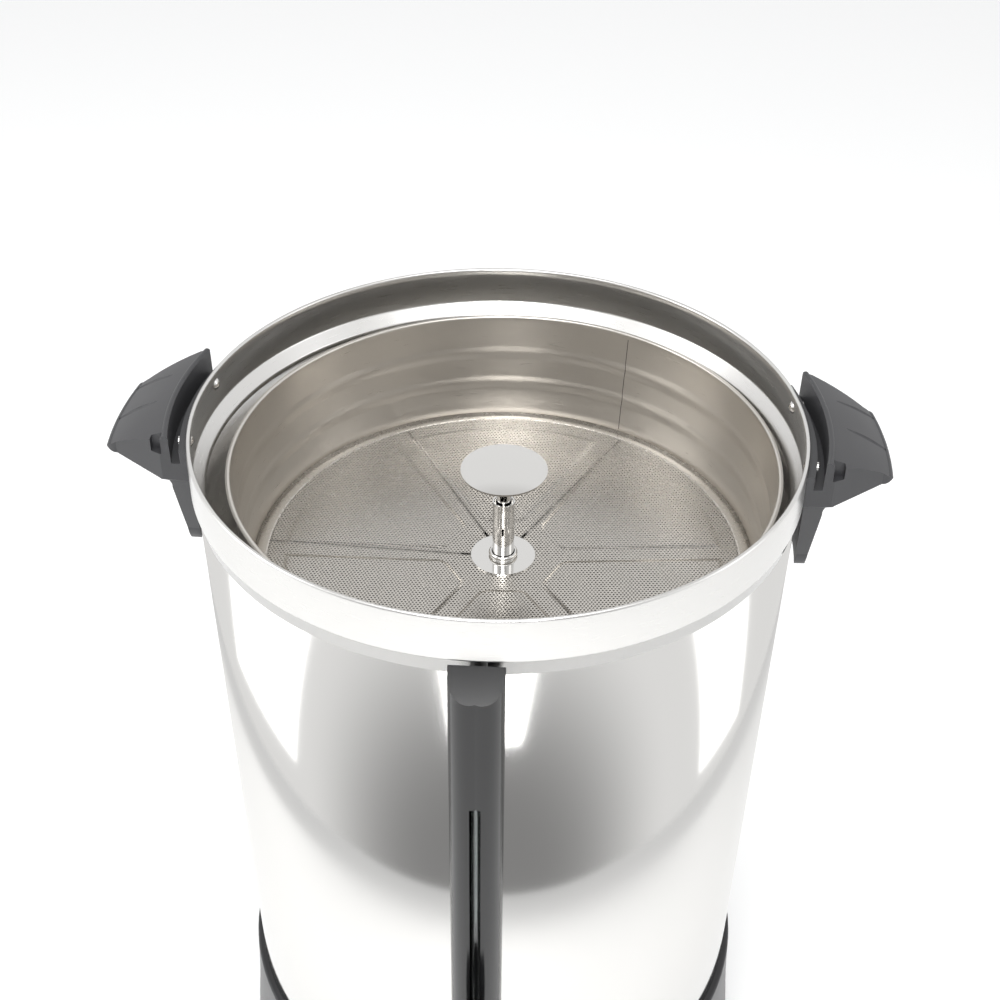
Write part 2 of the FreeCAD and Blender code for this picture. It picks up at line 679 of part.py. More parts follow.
def pump():
    """Pump tube with its seat collar, the bell foot in the well, the valve disc, and the spreader cap."""
    x = BASKET_SHIFT
    top = RIM_Z - TUBE_TOP_DROP
    foot_z = WELL_FLOOR_Z
    seat_top = STRAINER_MID_Z - STRAINER_SHEET - 3.0
    neck = foot_z + PUMP_FOOT_HEIGHT
    t = PUMP_FOOT_SHEET
    tube = ring(TUBE_R, TUBE_R - TUBE_WALL, neck - 6, top, x)
    slit = block(x - 0.5, x + 0.5, -TUBE_R - 1, 0, top - CAP_STEM_PLUG - 4, top + 1)
    keep("pump_tube", tube.cut(slit))
    collar = outline(
        (TUBE_R, seat_top - SEAT_COLLAR_HEIGHT),
        (TUBE_R + 2, seat_top - SEAT_COLLAR_HEIGHT),
        (SEAT_COLLAR_R, seat_top - 1.2),
        (SEAT_COLLAR_R, seat_top),
        (TUBE_R, seat_top),
    )
    keep("basket_seat_collar", turned(collar, x))
    face = outline(
        (PUMP_FOOT_R, foot_z),
        (PUMP_FOOT_R, foot_z + 10),
        (PUMP_FOOT_R - 1, foot_z + 14, PUMP_FOOT_R - 5, foot_z + 15.5),
        (TUBE_R + 3, neck - 7),
        (TUBE_R + t, neck - 4),
        (TUBE_R + t, neck),
        (TUBE_R, neck),
        (TUBE_R, neck - 6),
        (TUBE_R - TUBE_WALL, neck - 6),
        (TUBE_R - TUBE_WALL, neck - 7),
        (TUBE_R + 2, neck - 8),
        (PUMP_FOOT_R - 5, foot_z + 15.5 - t),
        (PUMP_FOOT_R - 1 - t, foot_z + 13.5 - t, PUMP_FOOT_R - t, foot_z + 10),
        (PUMP_FOOT_R - t, foot_z),
    )
    bell = turned(face, x)
    notches = []
    for i in range(4):
        notch = Part.makeCylinder(3.0, 10, V(PUMP_FOOT_R - 5, 0, foot_z), V(1, 0, 0))
        notch.rotate(V(0, 0, 0), V(0, 0, 1), 90 * i + 45)
        notch.translate(V(x, 0, 0))
        notches.append(notch)
    keep("pump_bell", bell.cut(group(notches)))
    cage_z = foot_z + 5.0
    cage = ring(PUMP_FOOT_R - t, VALVE_DISC_R - 2, cage_z, cage_z + 1.2, x)
    keep("valve_seat", cage)
    disc_z = cage_z + 1.2
    keep("valve_disc", rod(VALVE_DISC_R, disc_z, disc_z + VALVE_DISC_THICK, x))
    stop_z = disc_z + VALVE_DISC_THICK + VALVE_TRAVEL + 0.3
    keep("valve_stop", ring(PUMP_FOOT_R - t, VALVE_DISC_R - 3, stop_z, stop_z + 1.0, x)
         .cut(group([rod(2.2, stop_z - 1, stop_z + 2, x + 14 * math.cos(a), 14 * math.sin(a))
                     for a in [math.radians(60 * k) for k in range(6)]])))

    cap_z = RIM_Z - CAP_DROP + CAP_RISE
    t = CAP_SHEET
    dome_r = (CAP_R ** 2 + CAP_RISE ** 2) / (2 * CAP_RISE)
    dome = Part.makeSphere(dome_r, V(x, 0, cap_z - dome_r)).cut(Part.makeSphere(dome_r - t, V(x, 0, cap_z - dome_r)))
    keep("spreader_cap", dome.common(rod(CAP_R, cap_z - 2 * CAP_RISE, cap_z + 1, x)))
    r = CAP_STEM_R
    low = top - CAP_STEM_PLUG
    stem = ring(r, r - CAP_STEM_WALL, low, cap_z - t - 0.2, x)
    windows = group([
        block(x - 1.6, x + 1.6, -r - 1, r + 1, top + 1.5, cap_z - t - 2.0),
        block(x - r - 1, x + r + 1, -1.6, 1.6, top + 1.5, cap_z - t - 2.0),
    ])
    stem = stem.cut(windows)
    sleeve = ring(TUBE_R - TUBE_WALL - 0.05, r, low, low + 8, x)
    keep("cap_stem", stem.fuse(sleeve).removeSplitter())


def tap():
    """Tap body on its shank, seals and nut, bonnet, valve stem with its cup and spring, and the lever."""
    y = TAP_Y
    inside = -WALL_IN_FOOT_R
    outside = -wall_radius(TAP_Z)
    flange_y = outside - SEAL_THICK
    flange_t = 4.0
    nut_y = inside + SEAL_THICK
    end_y = nut_y + NUT_THICK + 3.0

    barrel = rod(BARREL_R, BARREL_FOOT_Z, BARREL_TOP_Z, 0, y)
    cone = Part.makeCone(SPOUT_R + 0.8, BARREL_R, 10, V(0, y, BARREL_FOOT_Z - 10))
    spout = Part.makeCone(SPOUT_R, SPOUT_R + 0.8, BARREL_FOOT_Z - 10 - SPOUT_FOOT_Z, V(0, y, SPOUT_FOOT_Z))
    shank = bar(SHANK_R - 0.1, y, end_y, 0, TAP_Z)
    flange = bar(SEAL_R + 1, flange_y - flange_t, flange_y, 0, TAP_Z)
    neck = bar(SHANK_R + 3, y, flange_y - 1, 0, TAP_Z)
    riser = block(-7, 7, flange_y - 14, flange_y - 1, TAP_Z, GAUGE_FOOT_Z - 4)
    body = barrel.fuse([cone, spout, shank, flange, neck, riser]).removeSplitter()
    body = body.cut(rod(CHAMBER_R, SEAT_Z, BARREL_TOP_Z + 1, 0, y))
    body = body.cut(rod(WATERWAY_R, SPOUT_FOOT_Z - 1, SEAT_Z + 1, 0, y))
    body = body.cut(bar(WATERWAY_R, y + CHAMBER_R - 3, end_y + 1, 0, TAP_Z))
    riser_y = flange_y - 8
    body = body.cut(rod(2.5, TAP_Z, GAUGE_FOOT_Z, 0, riser_y))
    body = body.cut(ring(BONNET_R, BARREL_R, BARREL_TOP_Z - BONNET_SKIRT, BARREL_TOP_Z + BONNET_HEIGHT, 0, y))
    keep("tap_body", body)

    seal = bar(SEAL_R, flange_y, outside + 6, 0, TAP_Z).cut(bar(SHANK_R, flange_y - 1, outside + 9, 0, TAP_Z))
    keep("tap_seal_outer", seal.cut(vessel_solid(0)))
    seal = bar(SEAL_R, inside - 2, nut_y, 0, TAP_Z).cut(bar(SHANK_R, inside - 4, nut_y + 1, 0, TAP_Z))
    keep("tap_seal_inner", seal.common(vessel_solid(SHEET + SEAL_EASE)))
    corner = NUT_FLATS / math.sqrt(3)
    points = [V(corner * math.cos(math.radians(60 * k)), nut_y, TAP_Z + corner * math.sin(math.radians(60 * k)))
              for k in range(7)]
    nut = Part.Face(Part.makePolygon(points)).extrude(V(0, NUT_THICK, 0))
    keep("tap_nut", nut.cut(bar(SHANK_R, nut_y - 1, nut_y + NUT_THICK + 1, 0, TAP_Z)))

    bonnet_z = BARREL_TOP_Z
    crown_z = bonnet_z + BONNET_HEIGHT - 4
    face = outline(
        (BARREL_R, bonnet_z - BONNET_SKIRT),
        (BONNET_R, bonnet_z - BONNET_SKIRT),
        (BONNET_R, crown_z - 3),
        (BONNET_R - 1, crown_z - 0.6, BONNET_R - 4, crown_z),
        (STEM_R + RUNNING_GAP, crown_z),
        (STEM_R + RUNNING_GAP, crown_z - 4),
        (CHAMBER_R, crown_z - 4),
        (CHAMBER_R, bonnet_z),
        (BARREL_R, bonnet_z),
    )
    bonnet = turned(face, 0, y)
    ridges = []
    for i in range(16):
        a = math.radians(360 * i / 16)
        ridges.append(rod(0.9, bonnet_z - BONNET_SKIRT - 1, crown_z - 4, BONNET_R * math.cos(a), y + BONNET_R * math.sin(a)))
    keep("tap_bonnet", bonnet.cut(group(ridges)))

    cup_top = SEAT_Z + CUP_HEIGHT
    face = outline(
        (0, SEAT_Z),
        (CUP_R - 2.5, SEAT_Z),
        (CUP_R, SEAT_Z + 2.5),
        (CUP_R, cup_top - 2),
        (CUP_R - 3, cup_top),
        (STEM_R, cup_top),
        (STEM_R, cup_top - 5),
        (0, cup_top - 5),
    )
    keep("valve_cup", turned(face, 0, y))
    eye_half = STEM_R - 0.4
    stem = rod(STEM_R, cup_top - 5, STEM_TOP_Z, 0, y)
    lift = LIFT_RADIUS * math.radians(LEVER_TILT)
    flats = block(-STEM_R - 1, -eye_half, y - 9, y + 9, crown_z - lift - 0.5, STEM_TOP_Z + 1)
    stem = stem.cut(flats).cut(flats.mirror(V(0, 0, 0), V(1, 0, 0)))
    washer = rod(CUP_R - 2, cup_top, cup_top + 1.5, 0, y)
    eye = Part.makeCylinder(PIN_R + PIN_RUNNING, 20, V(-10, y, PIN_Z), V(1, 0, 0))
    keep("valve_stem", stem.fuse(washer).removeSplitter().cut(eye))
    keep("valve_spring", ring(CUP_R - 2.2, CUP_R - 3.6, cup_top + 1.5, crown_z - 4, 0, y))

    cheek_in = eye_half + RUNNING_GAP
    cheek_out = cheek_in + LEVER_CHEEK
    pin = Part.makeCylinder(PIN_R, 2 * cheek_out, V(-cheek_out, y, PIN_Z), V(1, 0, 0))
    keep("lever_pin", pin)
    heel = PIN_Z - crown_z - RUNNING_GAP

    def heel_point(turn):
        """The heel is the involute of a circle about the pin, so that the lift is in step with the tilt."""
        reach = heel + LIFT_RADIUS * turn
        return (y - reach * math.sin(turn) - LIFT_RADIUS * math.cos(turn),
                PIN_Z - reach * math.cos(turn) + LIFT_RADIUS * math.sin(turn))

    end = math.radians(LEVER_TILT)
    side = LEVER_THICK / 2
    profile = outline(
        (y + HEEL_BACK, PIN_Z - heel),
        (y + side, PIN_Z + 12),
        (y + side + 1.0, LEVER_TOP_Z - 22, y + side - 3.0, LEVER_TOP_Z - 3),
        (y - 1.5, LEVER_TOP_Z, y - side - 2.0, LEVER_TOP_Z - 3),
        (y - side + 1.0, LEVER_TOP_Z - 26, y - side, PIN_Z + 12),
        heel_point(end),
        heel_point(end * 0.75) + heel_point(end * 0.5),
        heel_point(end * 0.25) + heel_point(0),
    )
    profile.rotate(V(0, 0, 0), V(0, 0, 1), 90)
    profile.translate(V(-LEVER_WIDTH / 2, 0, 0))
    lever = profile.extrude(V(LEVER_WIDTH, 0, 0))
    front = outline(
        (-cheek_out, PIN_Z - heel - 1),
        (cheek_out, PIN_Z - heel - 1),
        (cheek_out, PIN_Z + 8),
        (LEVER_WIDTH / 2 - 2, PIN_Z + 24),
        (LEVER_WIDTH / 2, LEVER_TOP_Z - 14),
        (LEVER_WIDTH / 2 - 2, LEVER_TOP_Z - 1, 0, LEVER_TOP_Z + 1),
        (-LEVER_WIDTH / 2 + 2, LEVER_TOP_Z - 1, -LEVER_WIDTH / 2, LEVER_TOP_Z - 14),
        (-LEVER_WIDTH / 2 + 2, PIN_Z + 24),
        (-cheek_out, PIN_Z + 8),
    )
    front.translate(V(0, y - 40, 0))
    lever = lever.common(front.extrude(V(0, 80, 0)))
    slot = block(-cheek_in, cheek_in, y - 20, y + 20, PIN_Z - heel - 1, STEM_TOP_Z + 6)
    lever = lever.cut(slot).cut(pin)
    keep("tap_lever", lever)


def gauge():
    """Level gauge: a slotted black column on the front of the vessel, with the sight glass inside."""
    back = -(wall_radius(RIM_Z - GAUGE_TOP_DROP) + GAUGE_STANDOFF)
    front = back - GAUGE_DEPTH
    top = RIM_Z - GAUGE_TOP_DROP
    half = GAUGE_WIDTH / 2
    foot = GAUGE_FOOT_Z
    column = prism(
        [
            (-half, back),
            (-half, back - 4),
            (-half + 2.5, front + 2.5, 0, front),
            (half - 2.5, front + 2.5, half, back - 4),
            (half, back),
        ],
        foot,
        top,
    )
    bevel = outline((back + 1, top), (front - 1, top - GAUGE_DEPTH), (front - 1, top + 1), (back + 1, top + 1))
    bevel.rotate(V(0, 0, 0), V(0, 0, 1), 90)
    bevel.translate(V(-half - 1, 0, 0))
    column = column.cut(bevel.extrude(V(GAUGE_WIDTH + 2, 0, 0)))
    y = (back + front) / 2 + 0.6
    bore = GLASS_R + GLASS_GAP
    glass_top = top - GAUGE_DEPTH - 6
    glass_foot = foot + 6
    column = column.cut(rod(bore, glass_foot, glass_top, 0, y))
    slot_half = SLOT_WIDTH / 2
    column = column.cut(block(-slot_half, slot_half, front - 1, y, SLOT_FOOT_Z, SLOT_TOP_Z))
    column = column.cut(rod(2.5, foot - 1, glass_foot + 1, 0, y))
    keep("gauge_column", column)
    seal = 3.0
    keep("gauge_seals", group([
        ring(bore, GLASS_R - GLASS_WALL, glass_foot, glass_foot + seal, 0, y),
        ring(bore, GLASS_R - GLASS_WALL, glass_top - seal, glass_top, 0, y),
    ]))
    keep("sight_glass", ring(GLASS_R, GLASS_R - GLASS_WALL, glass_foot + seal, glass_top - seal, 0, y))
    foot_block = block(-9, 9, back - 11, back, foot - 4, foot)
    keep("gauge_foot", foot_block.cut(rod(2.5, foot - 5, foot + 1, 0, y)))
    screw_z = top - 16
    wall_y = -wall_radius(screw_z)
    keep("gauge_spacer", bar(4, back, wall_y + 3, 0, screw_z).cut(vessel_solid(0)))


def vessel_solid(inset):
    """The round form of the vessel's wall, less an inset, to shape the pieces that bear on it."""
    straight_z = WALL_FOOT_Z + WALL_FOOT_STRAIGHT
    foot_r = WALL_FOOT_R - inset
    top_r = WALL_TOP_R - inset
    low = Part.makeCylinder(foot_r, straight_z - WALL_FOOT_Z, V(0, 0, WALL_FOOT_Z))
    high = Part.makeCone(foot_r, top_r, WALL_TOP_Z - straight_z, V(0, 0, straight_z))
    return low.fuse(high)


def controls():
    """Lamps and rocker switch at the front of the base, and the power inlet at its back."""
    r = BASE_FOOT_R
    lenses = []
    for angle in LAMP_ANGLES:
        lens = bar(LAMP_R, -r - 0.6, -r + 9, 0, PANEL_Z)
        flange = bar(LAMP_R + 1.4, -r + 7, -r + 9, 0, PANEL_Z)
        lenses.append(about_axis(lens.fuse(flange).removeSplitter(), angle))
    keep("lamp_ready", lenses[0])
    keep("lamp_power", lenses[1])
    out_w = SWITCH_WIDTH / 2 + SWITCH_BEZEL
    out_h = SWITCH_HEIGHT / 2 + SWITCH_BEZEL
    in_w = SWITCH_WIDTH / 2
    in_h = SWITCH_HEIGHT / 2
    face_y = -r - 1.2
    z = PANEL_Z
    frame = block(-out_w, out_w, face_y, face_y + SWITCH_DEPTH, z - out_h, z + out_h)
    frame = frame.cut(block(-in_w, in_w, face_y - 1, face_y + SWITCH_DEPTH - 3, z - in_h, z + in_h))
    axle = Part.makeCylinder(1.5, 2 * in_w + 2, V(-in_w - 1, face_y + 5, z), V(1, 0, 0))
    keep("switch_frame", about_axis(frame.cut(axle), SWITCH_ANGLE))
    gap = 0.4
    end = in_h - 1.6
    body = outline(
        (face_y + 8, z),
        (face_y + 2.5, z + end),
        (face_y - 0.2, z + end),
        (face_y + 0.9, z),
        (face_y - 0.2, z - end),
        (face_y + 2.5, z - end),
    )
    body.rotate(V(0, 0, 0), V(0, 0, 1), 90)
    body.translate(V(-in_w + gap, 0, 0))
    rocker = body.extrude(V(2 * (in_w - gap), 0, 0))
    rocker.rotate(V(0, face_y + 5, z), V(1, 0, 0), -ROCKER_TILT)
    shaft = Part.makeCylinder(1.45, 2 * in_w + 1.6, V(-in_w - 0.8, face_y + 5, z), V(1, 0, 0))
    keep("switch_rocker", about_axis(rocker.fuse(shaft).removeSplitter(), SWITCH_ANGLE))

    w = INLET_WIDTH / 2
    h = INLET_HEIGHT / 2
    back = BASE_FOOT_R + INLET_PROUD
    shell = block(-w, w, back - INLET_DEPTH, back, z - h, z + h)
    shell = shell.cut(block(-SOCKET_WIDTH / 2, SOCKET_WIDTH / 2, back - SOCKET_DEPTH, back + 1,
                            z - SOCKET_HEIGHT / 2, z + SOCKET_HEIGHT / 2))
    blades = []
    for dx, dz in ((-BLADE_PITCH, -2.0), (0.0, 2.0), (BLADE_PITCH, -2.0)):
        blades.append(block(dx - BLADE_THICK / 2, dx + BLADE_THICK / 2, back - INLET_DEPTH - 5, back - 6,
                            z + dz - BLADE_WIDTH / 2, z + dz + BLADE_WIDTH / 2))
    pins = group(blades)
    keep("inlet_shell", shell.cut(pins))
    keep("inlet_blades", pins)


def main():
    os.makedirs("parts", exist_ok=True)
    vessel_wall()
    keep("vessel_floor", vessel_floor())
    under_floor()
    base()
    handles()
    basket()
    pump()
    tap()
    gauge()
    controls()
    for name, shape in made.items():
        if not shape.isValid():
            print("not valid:", name)
        shape.exportStep("parts/" + name + ".step")
    print(len(made), "nodes")


main()
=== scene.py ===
"""Looks of a percolating coffee urn that stands open, with its strainer basket and pump tube in place."""

import math

import bpy
from mathutils import Euler, Matrix, Vector


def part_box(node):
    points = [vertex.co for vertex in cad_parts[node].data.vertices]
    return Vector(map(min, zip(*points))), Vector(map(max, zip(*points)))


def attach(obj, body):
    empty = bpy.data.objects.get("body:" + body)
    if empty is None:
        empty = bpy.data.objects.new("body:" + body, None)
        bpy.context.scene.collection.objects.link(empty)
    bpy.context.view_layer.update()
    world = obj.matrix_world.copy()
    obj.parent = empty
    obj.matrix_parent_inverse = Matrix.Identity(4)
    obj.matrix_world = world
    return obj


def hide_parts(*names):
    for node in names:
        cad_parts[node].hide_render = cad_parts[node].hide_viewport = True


bl_info = {
    "name": "Coffee Urn",
    "version": (1, 0, 0),
    "blender": (4, 5, 0),
    "location": "3D View > Sidebar > Coffee Urn",
    "description": "Dresses the solids of a coffee urn with perforated steel, polish and moulded plastic",
    "category": "Object",
}

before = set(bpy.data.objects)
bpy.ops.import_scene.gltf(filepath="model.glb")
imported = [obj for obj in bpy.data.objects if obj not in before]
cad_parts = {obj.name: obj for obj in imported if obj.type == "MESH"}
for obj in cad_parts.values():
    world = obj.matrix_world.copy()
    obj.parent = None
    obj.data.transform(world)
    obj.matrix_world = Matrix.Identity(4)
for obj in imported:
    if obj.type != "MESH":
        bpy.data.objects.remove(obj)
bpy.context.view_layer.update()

MM = 0.001
PLATE_LOW, PLATE_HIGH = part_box("strainer_plate")
HUB_LOW, HUB_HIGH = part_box("centre_disc")
COLLAR_LOW, COLLAR_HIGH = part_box("collar")
WALL_LOW, WALL_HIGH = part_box("vessel_wall")
BASKET_LOW, BASKET_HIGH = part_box("basket_wall")
BASKET_X = (PLATE_LOW.x + PLATE_HIGH.x) / 2
AXIS_Y = (WALL_LOW.y + WALL_HIGH.y) / 2
RIM_Z = COLLAR_HIGH.z
RIM_R = COLLAR_HIGH.x

DISH = 3.2 * MM  # depth of the strainer's shallow dish
POLISH_DROP = 22.4 * MM  # the polished outside starts this far below the rim
RING_COUNT = 2  # soft rings pressed into the basket


class UrnStrainerSettings(bpy.types.PropertyGroup):
    """Sizes of the perforated strainer plate."""

    pitch: bpy.props.FloatProperty(
        name="Hole pitch", description="Distance between neighbouring holes in a row",
        default=1.75 * MM, min=1.2 * MM, unit="LENGTH")
    hole: bpy.props.FloatProperty(
        name="Hole width", description="Width of a hole between opposite flats",
        default=1.0 * MM, unit="LENGTH")
    sheet: bpy.props.FloatProperty(
        name="Sheet", description="Thickness of the perforated sheet", default=0.5 * MM, unit="LENGTH")
    zone: bpy.props.FloatProperty(
        name="Perforated radius", description="Radius out to which the plate is perforated",
        default=118.0 * MM, unit="LENGTH")
    panels: bpy.props.IntProperty(
        name="Panels", description="Raised panels pressed into the plate", default=6, min=3)
    first_panel: bpy.props.FloatProperty(
        name="First panel", description="Direction of the middle of the first panel",
        default=math.radians(33.0), subtype="ANGLE", unit="ROTATION")
    panel_inner: bpy.props.FloatProperty(
        name="Panel start", description="Distance from the middle to a panel's inner edge",
        default=27.0 * MM, unit="LENGTH")
    panel_outer: bpy.props.FloatProperty(
        name="Panel end", description="Radius of a panel's outer edge",
        default=109.0 * MM, unit="LENGTH")
    spoke: bpy.props.FloatProperty(
        name="Spoke width", description="Flat strip left between two panels",
        default=8.5 * MM, unit="LENGTH")
    rise: bpy.props.FloatProperty(
        name="Panel rise", description="Height of a panel above the spokes",
        default=0.55 * MM, unit="LENGTH")
    crease: bpy.props.FloatProperty(
        name="Crease width", description="Width of the slope round a panel",
        default=2.2 * MM, unit="LENGTH")


class UrnShellSettings(bpy.types.PropertyGroup):
    """Sizes of the thin turned shells: collar, wall and basket."""

    sheet: bpy.props.FloatProperty(
        name="Vessel sheet", description="Thickness of the vessel's sheet",
        default=1.0 * MM, unit="LENGTH")
    hem: bpy.props.FloatProperty(
        name="Rim hem", description="Width of the folded rim", default=2.2 * MM, unit="LENGTH")
    hem_height: bpy.props.FloatProperty(
        name="Hem height", description="Height of the fold inside the rim",
        default=4.0 * MM, unit="LENGTH")
    band: bpy.props.FloatProperty(
        name="Band height", description="Height of the brushed band", default=23.0 * MM, unit="LENGTH")
    ledge: bpy.props.FloatProperty(
        name="Ledge depth", description="How far the ledge stands in from the band",
        default=6.6 * MM, unit="LENGTH")
    taper: bpy.props.FloatProperty(
        name="Wall taper", description="How much smaller the wall is at its foot",
        default=5.5 * MM, unit="LENGTH")
    foot_straight: bpy.props.FloatProperty(
        name="Straight foot", description="Height of the wall's straight foot",
        default=20.0 * MM, unit="LENGTH")
    basket_sheet: bpy.props.FloatProperty(
        name="Basket sheet", description="Thickness of the basket's sheet",
        default=0.8 * MM, unit="LENGTH")
    basket_hem: bpy.props.FloatProperty(
        name="Basket hem", description="Width of the basket's folded rim",
        default=2.4 * MM, unit="LENGTH")
    basket_taper: bpy.props.FloatProperty(
        name="Basket taper", description="How much smaller the basket is at its foot",
        default=5.5 * MM, unit="LENGTH")
    ring_depth: bpy.props.FloatProperty(
        name="Ring depth", description="Depth of the soft rings pressed into the basket",
        default=0.5 * MM, unit="LENGTH")
    ring_half: bpy.props.FloatProperty(
        name="Ring half width", description="Half the width of a pressed ring",
        default=4.5 * MM, unit="LENGTH")
    ring_drop: bpy.props.FloatProperty(
        name="First ring", description="Distance of the first ring below the basket's rim",
        default=21.5 * MM, unit="LENGTH")
    ring_pitch: bpy.props.FloatProperty(
        name="Ring pitch", description="Distance between the rings", default=18.0 * MM, unit="LENGTH")
    seam: bpy.props.FloatProperty(
        name="Seam", description="Direction of the basket's weld seam",
        default=math.radians(62.5), subtype="ANGLE", unit="ROTATION")


class UrnFinishSettings(bpy.types.PropertyGroup):
    """Colours and gloss of the urn's materials."""

    steel: bpy.props.StringProperty(
        name="Polished steel", description="Colour of the polished vessel", default="#D9D8D6")
    satin: bpy.props.StringProperty(
        name="Satin steel", description="Colour of the brushed steel inside", default="#CFCBC5")
    handle: bpy.props.StringProperty(
        name="Handle plastic", description="Colour of the moulded handles", default="#3A3A3C")
    base: bpy.props.StringProperty(
        name="Base plastic", description="Colour of the base", default="#262628")
    gloss_black: bpy.props.StringProperty(
        name="Gloss black", description="Colour of the tap and gauge", default="#161617")
    mirror: bpy.props.FloatProperty(
        name="Mirror roughness", description="Roughness of the polished vessel",
        default=0.1, subtype="FACTOR")


class UrnStageSettings(bpy.types.PropertyGroup):
    """Place and lens of the photograph's camera."""

    lens: bpy.props.FloatProperty(
        name="Lens", description="Focal length on a 36 mm wide sensor", default=57.455, unit="CAMERA")
    aside: bpy.props.FloatProperty(
        name="Aside", description="Camera's place right of the urn's axis", default=1.154 * MM, unit="LENGTH")
    distance: bpy.props.FloatProperty(
        name="Distance", description="Camera's distance in front of the urn's axis",
        default=0.62167, unit="LENGTH")
    above: bpy.props.FloatProperty(
        name="Above rim", description="Camera's height above the rim", default=0.41777, unit="LENGTH")
    pitch: bpy.props.FloatProperty(
        name="Pitch", description="Camera's tilt below the horizon",
        default=math.radians(36.88), subtype="ANGLE", unit="ROTATION")
    roll: bpy.props.FloatProperty(
        name="Roll", description="Camera's roll", default=0.0109, subtype="ANGLE", unit="ROTATION")
    turn: bpy.props.FloatProperty(
        name="Turn", description="How far the camera stands round the urn from its front",
        default=math.radians(3.0), subtype="ANGLE", unit="ROTATION")


def linear(text):
    """An sRGB hex colour as linear values."""
    values = []
    for i in (1, 3, 5):
        c = int(text[i:i + 2], 16) / 255
        values.append(c / 12.92 if c <= 0.04045 else ((c + 0.055) / 1.055) ** 2.4)
    return (*values, 1.0)


def add(tree, kind, settings=None, **inputs):
    """Adds a node with its settings and inputs: values, sockets, or nodes whose first output is linked."""
    node = tree.nodes.new(kind)
    for name, value in (settings or {}).items():
        setattr(node, name, value)
    for name, value in inputs.items():
        key = int(name[2:]) if name.startswith("in") and name[2:].isdigit() else name.replace("_", " ")
        socket = node.inputs[key]
        if isinstance(value, bpy.types.Node):
            value = value.outputs[0]
        if isinstance(value, bpy.types.NodeSocket):
            tree.links.new(value, socket)
        else:
            socket.default_value = value
    return node


def new_material(name):
    """An empty node material, its tree and its shader."""
    material = bpy.data.materials.new(name)
    material.use_nodes = True
    tree = material.node_tree
    tree.nodes.clear()
    shader = add(tree, "ShaderNodeBsdfPrincipled")
    add(tree, "ShaderNodeOutputMaterial", Surface=shader)
    return material, tree, shader


def object_place(tree, scale=(1, 1, 1)):
    """Object coordinates, scaled."""
    place = add(tree, "ShaderNodeTexCoord")
    mapping = add(tree, "ShaderNodeMapping", Vector=place.outputs["Object"])
    mapping.inputs["Scale"].default_value = scale
    return mapping.outputs[0]


def ring_place(tree, middle_x, around, up):
    """Coordinates that run round the urn's axis, for lines brushed round a turned piece."""
    place = add(tree, "ShaderNodeTexCoord")
    parts = add(tree, "ShaderNodeSeparateXYZ", Vector=place.outputs["Object"])
    x = add(tree, "ShaderNodeMath", {"operation": "SUBTRACT"}, in0=parts, in1=middle_x)
    y = add(tree, "ShaderNodeMath", {"operation": "SUBTRACT"}, in0=parts.outputs[1], in1=AXIS_Y)
    turn = add(tree, "ShaderNodeMath", {"operation": "ARCTAN2"}, in0=y, in1=x)
    along = add(tree, "ShaderNodeMath", {"operation": "MULTIPLY"}, in0=turn, in1=around)
    height = add(tree, "ShaderNodeMath", {"operation": "MULTIPLY"}, in0=parts.outputs[2], in1=up)
    return add(tree, "ShaderNodeCombineXYZ", X=along, Y=height).outputs[0]


def grain_bump(tree, place, strength, distance, scale, detail=3.0):
    """A fine height pattern and the normal that it gives."""
    lines = add(tree, "ShaderNodeTexNoise", Vector=place, Scale=scale, Detail=detail)
    bump = add(tree, "ShaderNodeBump", Strength=strength, Distance=distance, Height=lines)
    return lines.outputs[0], bump.outputs[0]


def vessel_steel(finish):
    """Drawn stainless: the wall's outside is polished bright, the band and the inside are brushed round."""
    material, tree, shader = new_material("Urn polished and brushed stainless")
    place = add(tree, "ShaderNodeTexCoord")
    parts = add(tree, "ShaderNodeSeparateXYZ", Vector=place.outputs["Object"])
    y = add(tree, "ShaderNodeMath", {"operation": "SUBTRACT"}, in0=parts.outputs[1], in1=AXIS_Y)
    flat = add(tree, "ShaderNodeCombineXYZ", X=parts, Y=y)
    facing = add(tree, "ShaderNodeVectorMath", {"operation": "DOT_PRODUCT"},
                 in0=flat, in1=place.outputs["Normal"])
    outside = add(tree, "ShaderNodeMath", {"operation": "GREATER_THAN"},
                  in0=facing.outputs["Value"], in1=0.0)
    below_band = add(tree, "ShaderNodeMath", {"operation": "LESS_THAN"},
                     in0=parts.outputs[2], in1=RIM_Z - POLISH_DROP)
    polished = add(tree, "ShaderNodeMath", {"operation": "MULTIPLY"}, in0=outside, in1=below_band)
    # Brush lines 0.4 mm apart, coarser than real ones so that they show.
    # The polish has soft waves 11 cm wide, which bend what it mirrors.
    lines, brushed = grain_bump(tree, ring_place(tree, 0.0, 3.0, 900.0), 0.09, 0.4 * MM, 3.0)
    waves = add(tree, "ShaderNodeTexNoise", Vector=object_place(tree, (1, 1, 0.35)), Scale=9.0, Detail=1.0)
    waved = add(tree, "ShaderNodeBump", Strength=0.05, Distance=4 * MM, Height=waves)
    normal = add(tree, "ShaderNodeMix", {"data_type": "VECTOR"}, Factor=polished)
    tree.links.new(brushed, normal.inputs[4])
    tree.links.new(waved.outputs[0], normal.inputs[5])
    tree.links.new(normal.outputs[1], shader.inputs["Normal"])
    rough = add(tree, "ShaderNodeMapRange", Value=lines, To_Min=0.24, To_Max=0.34)
    gloss = add(tree, "ShaderNodeMix", {"data_type": "FLOAT"}, Factor=polished)
    tree.links.new(rough.outputs[0], gloss.inputs[2])
    gloss.inputs[3].default_value = finish.mirror
    tree.links.new(gloss.outputs[0], shader.inputs["Roughness"])
    shader.inputs["Metallic"].default_value = 1.0
    shader.inputs["Base Color"].default_value = linear(finish.steel)
    return material


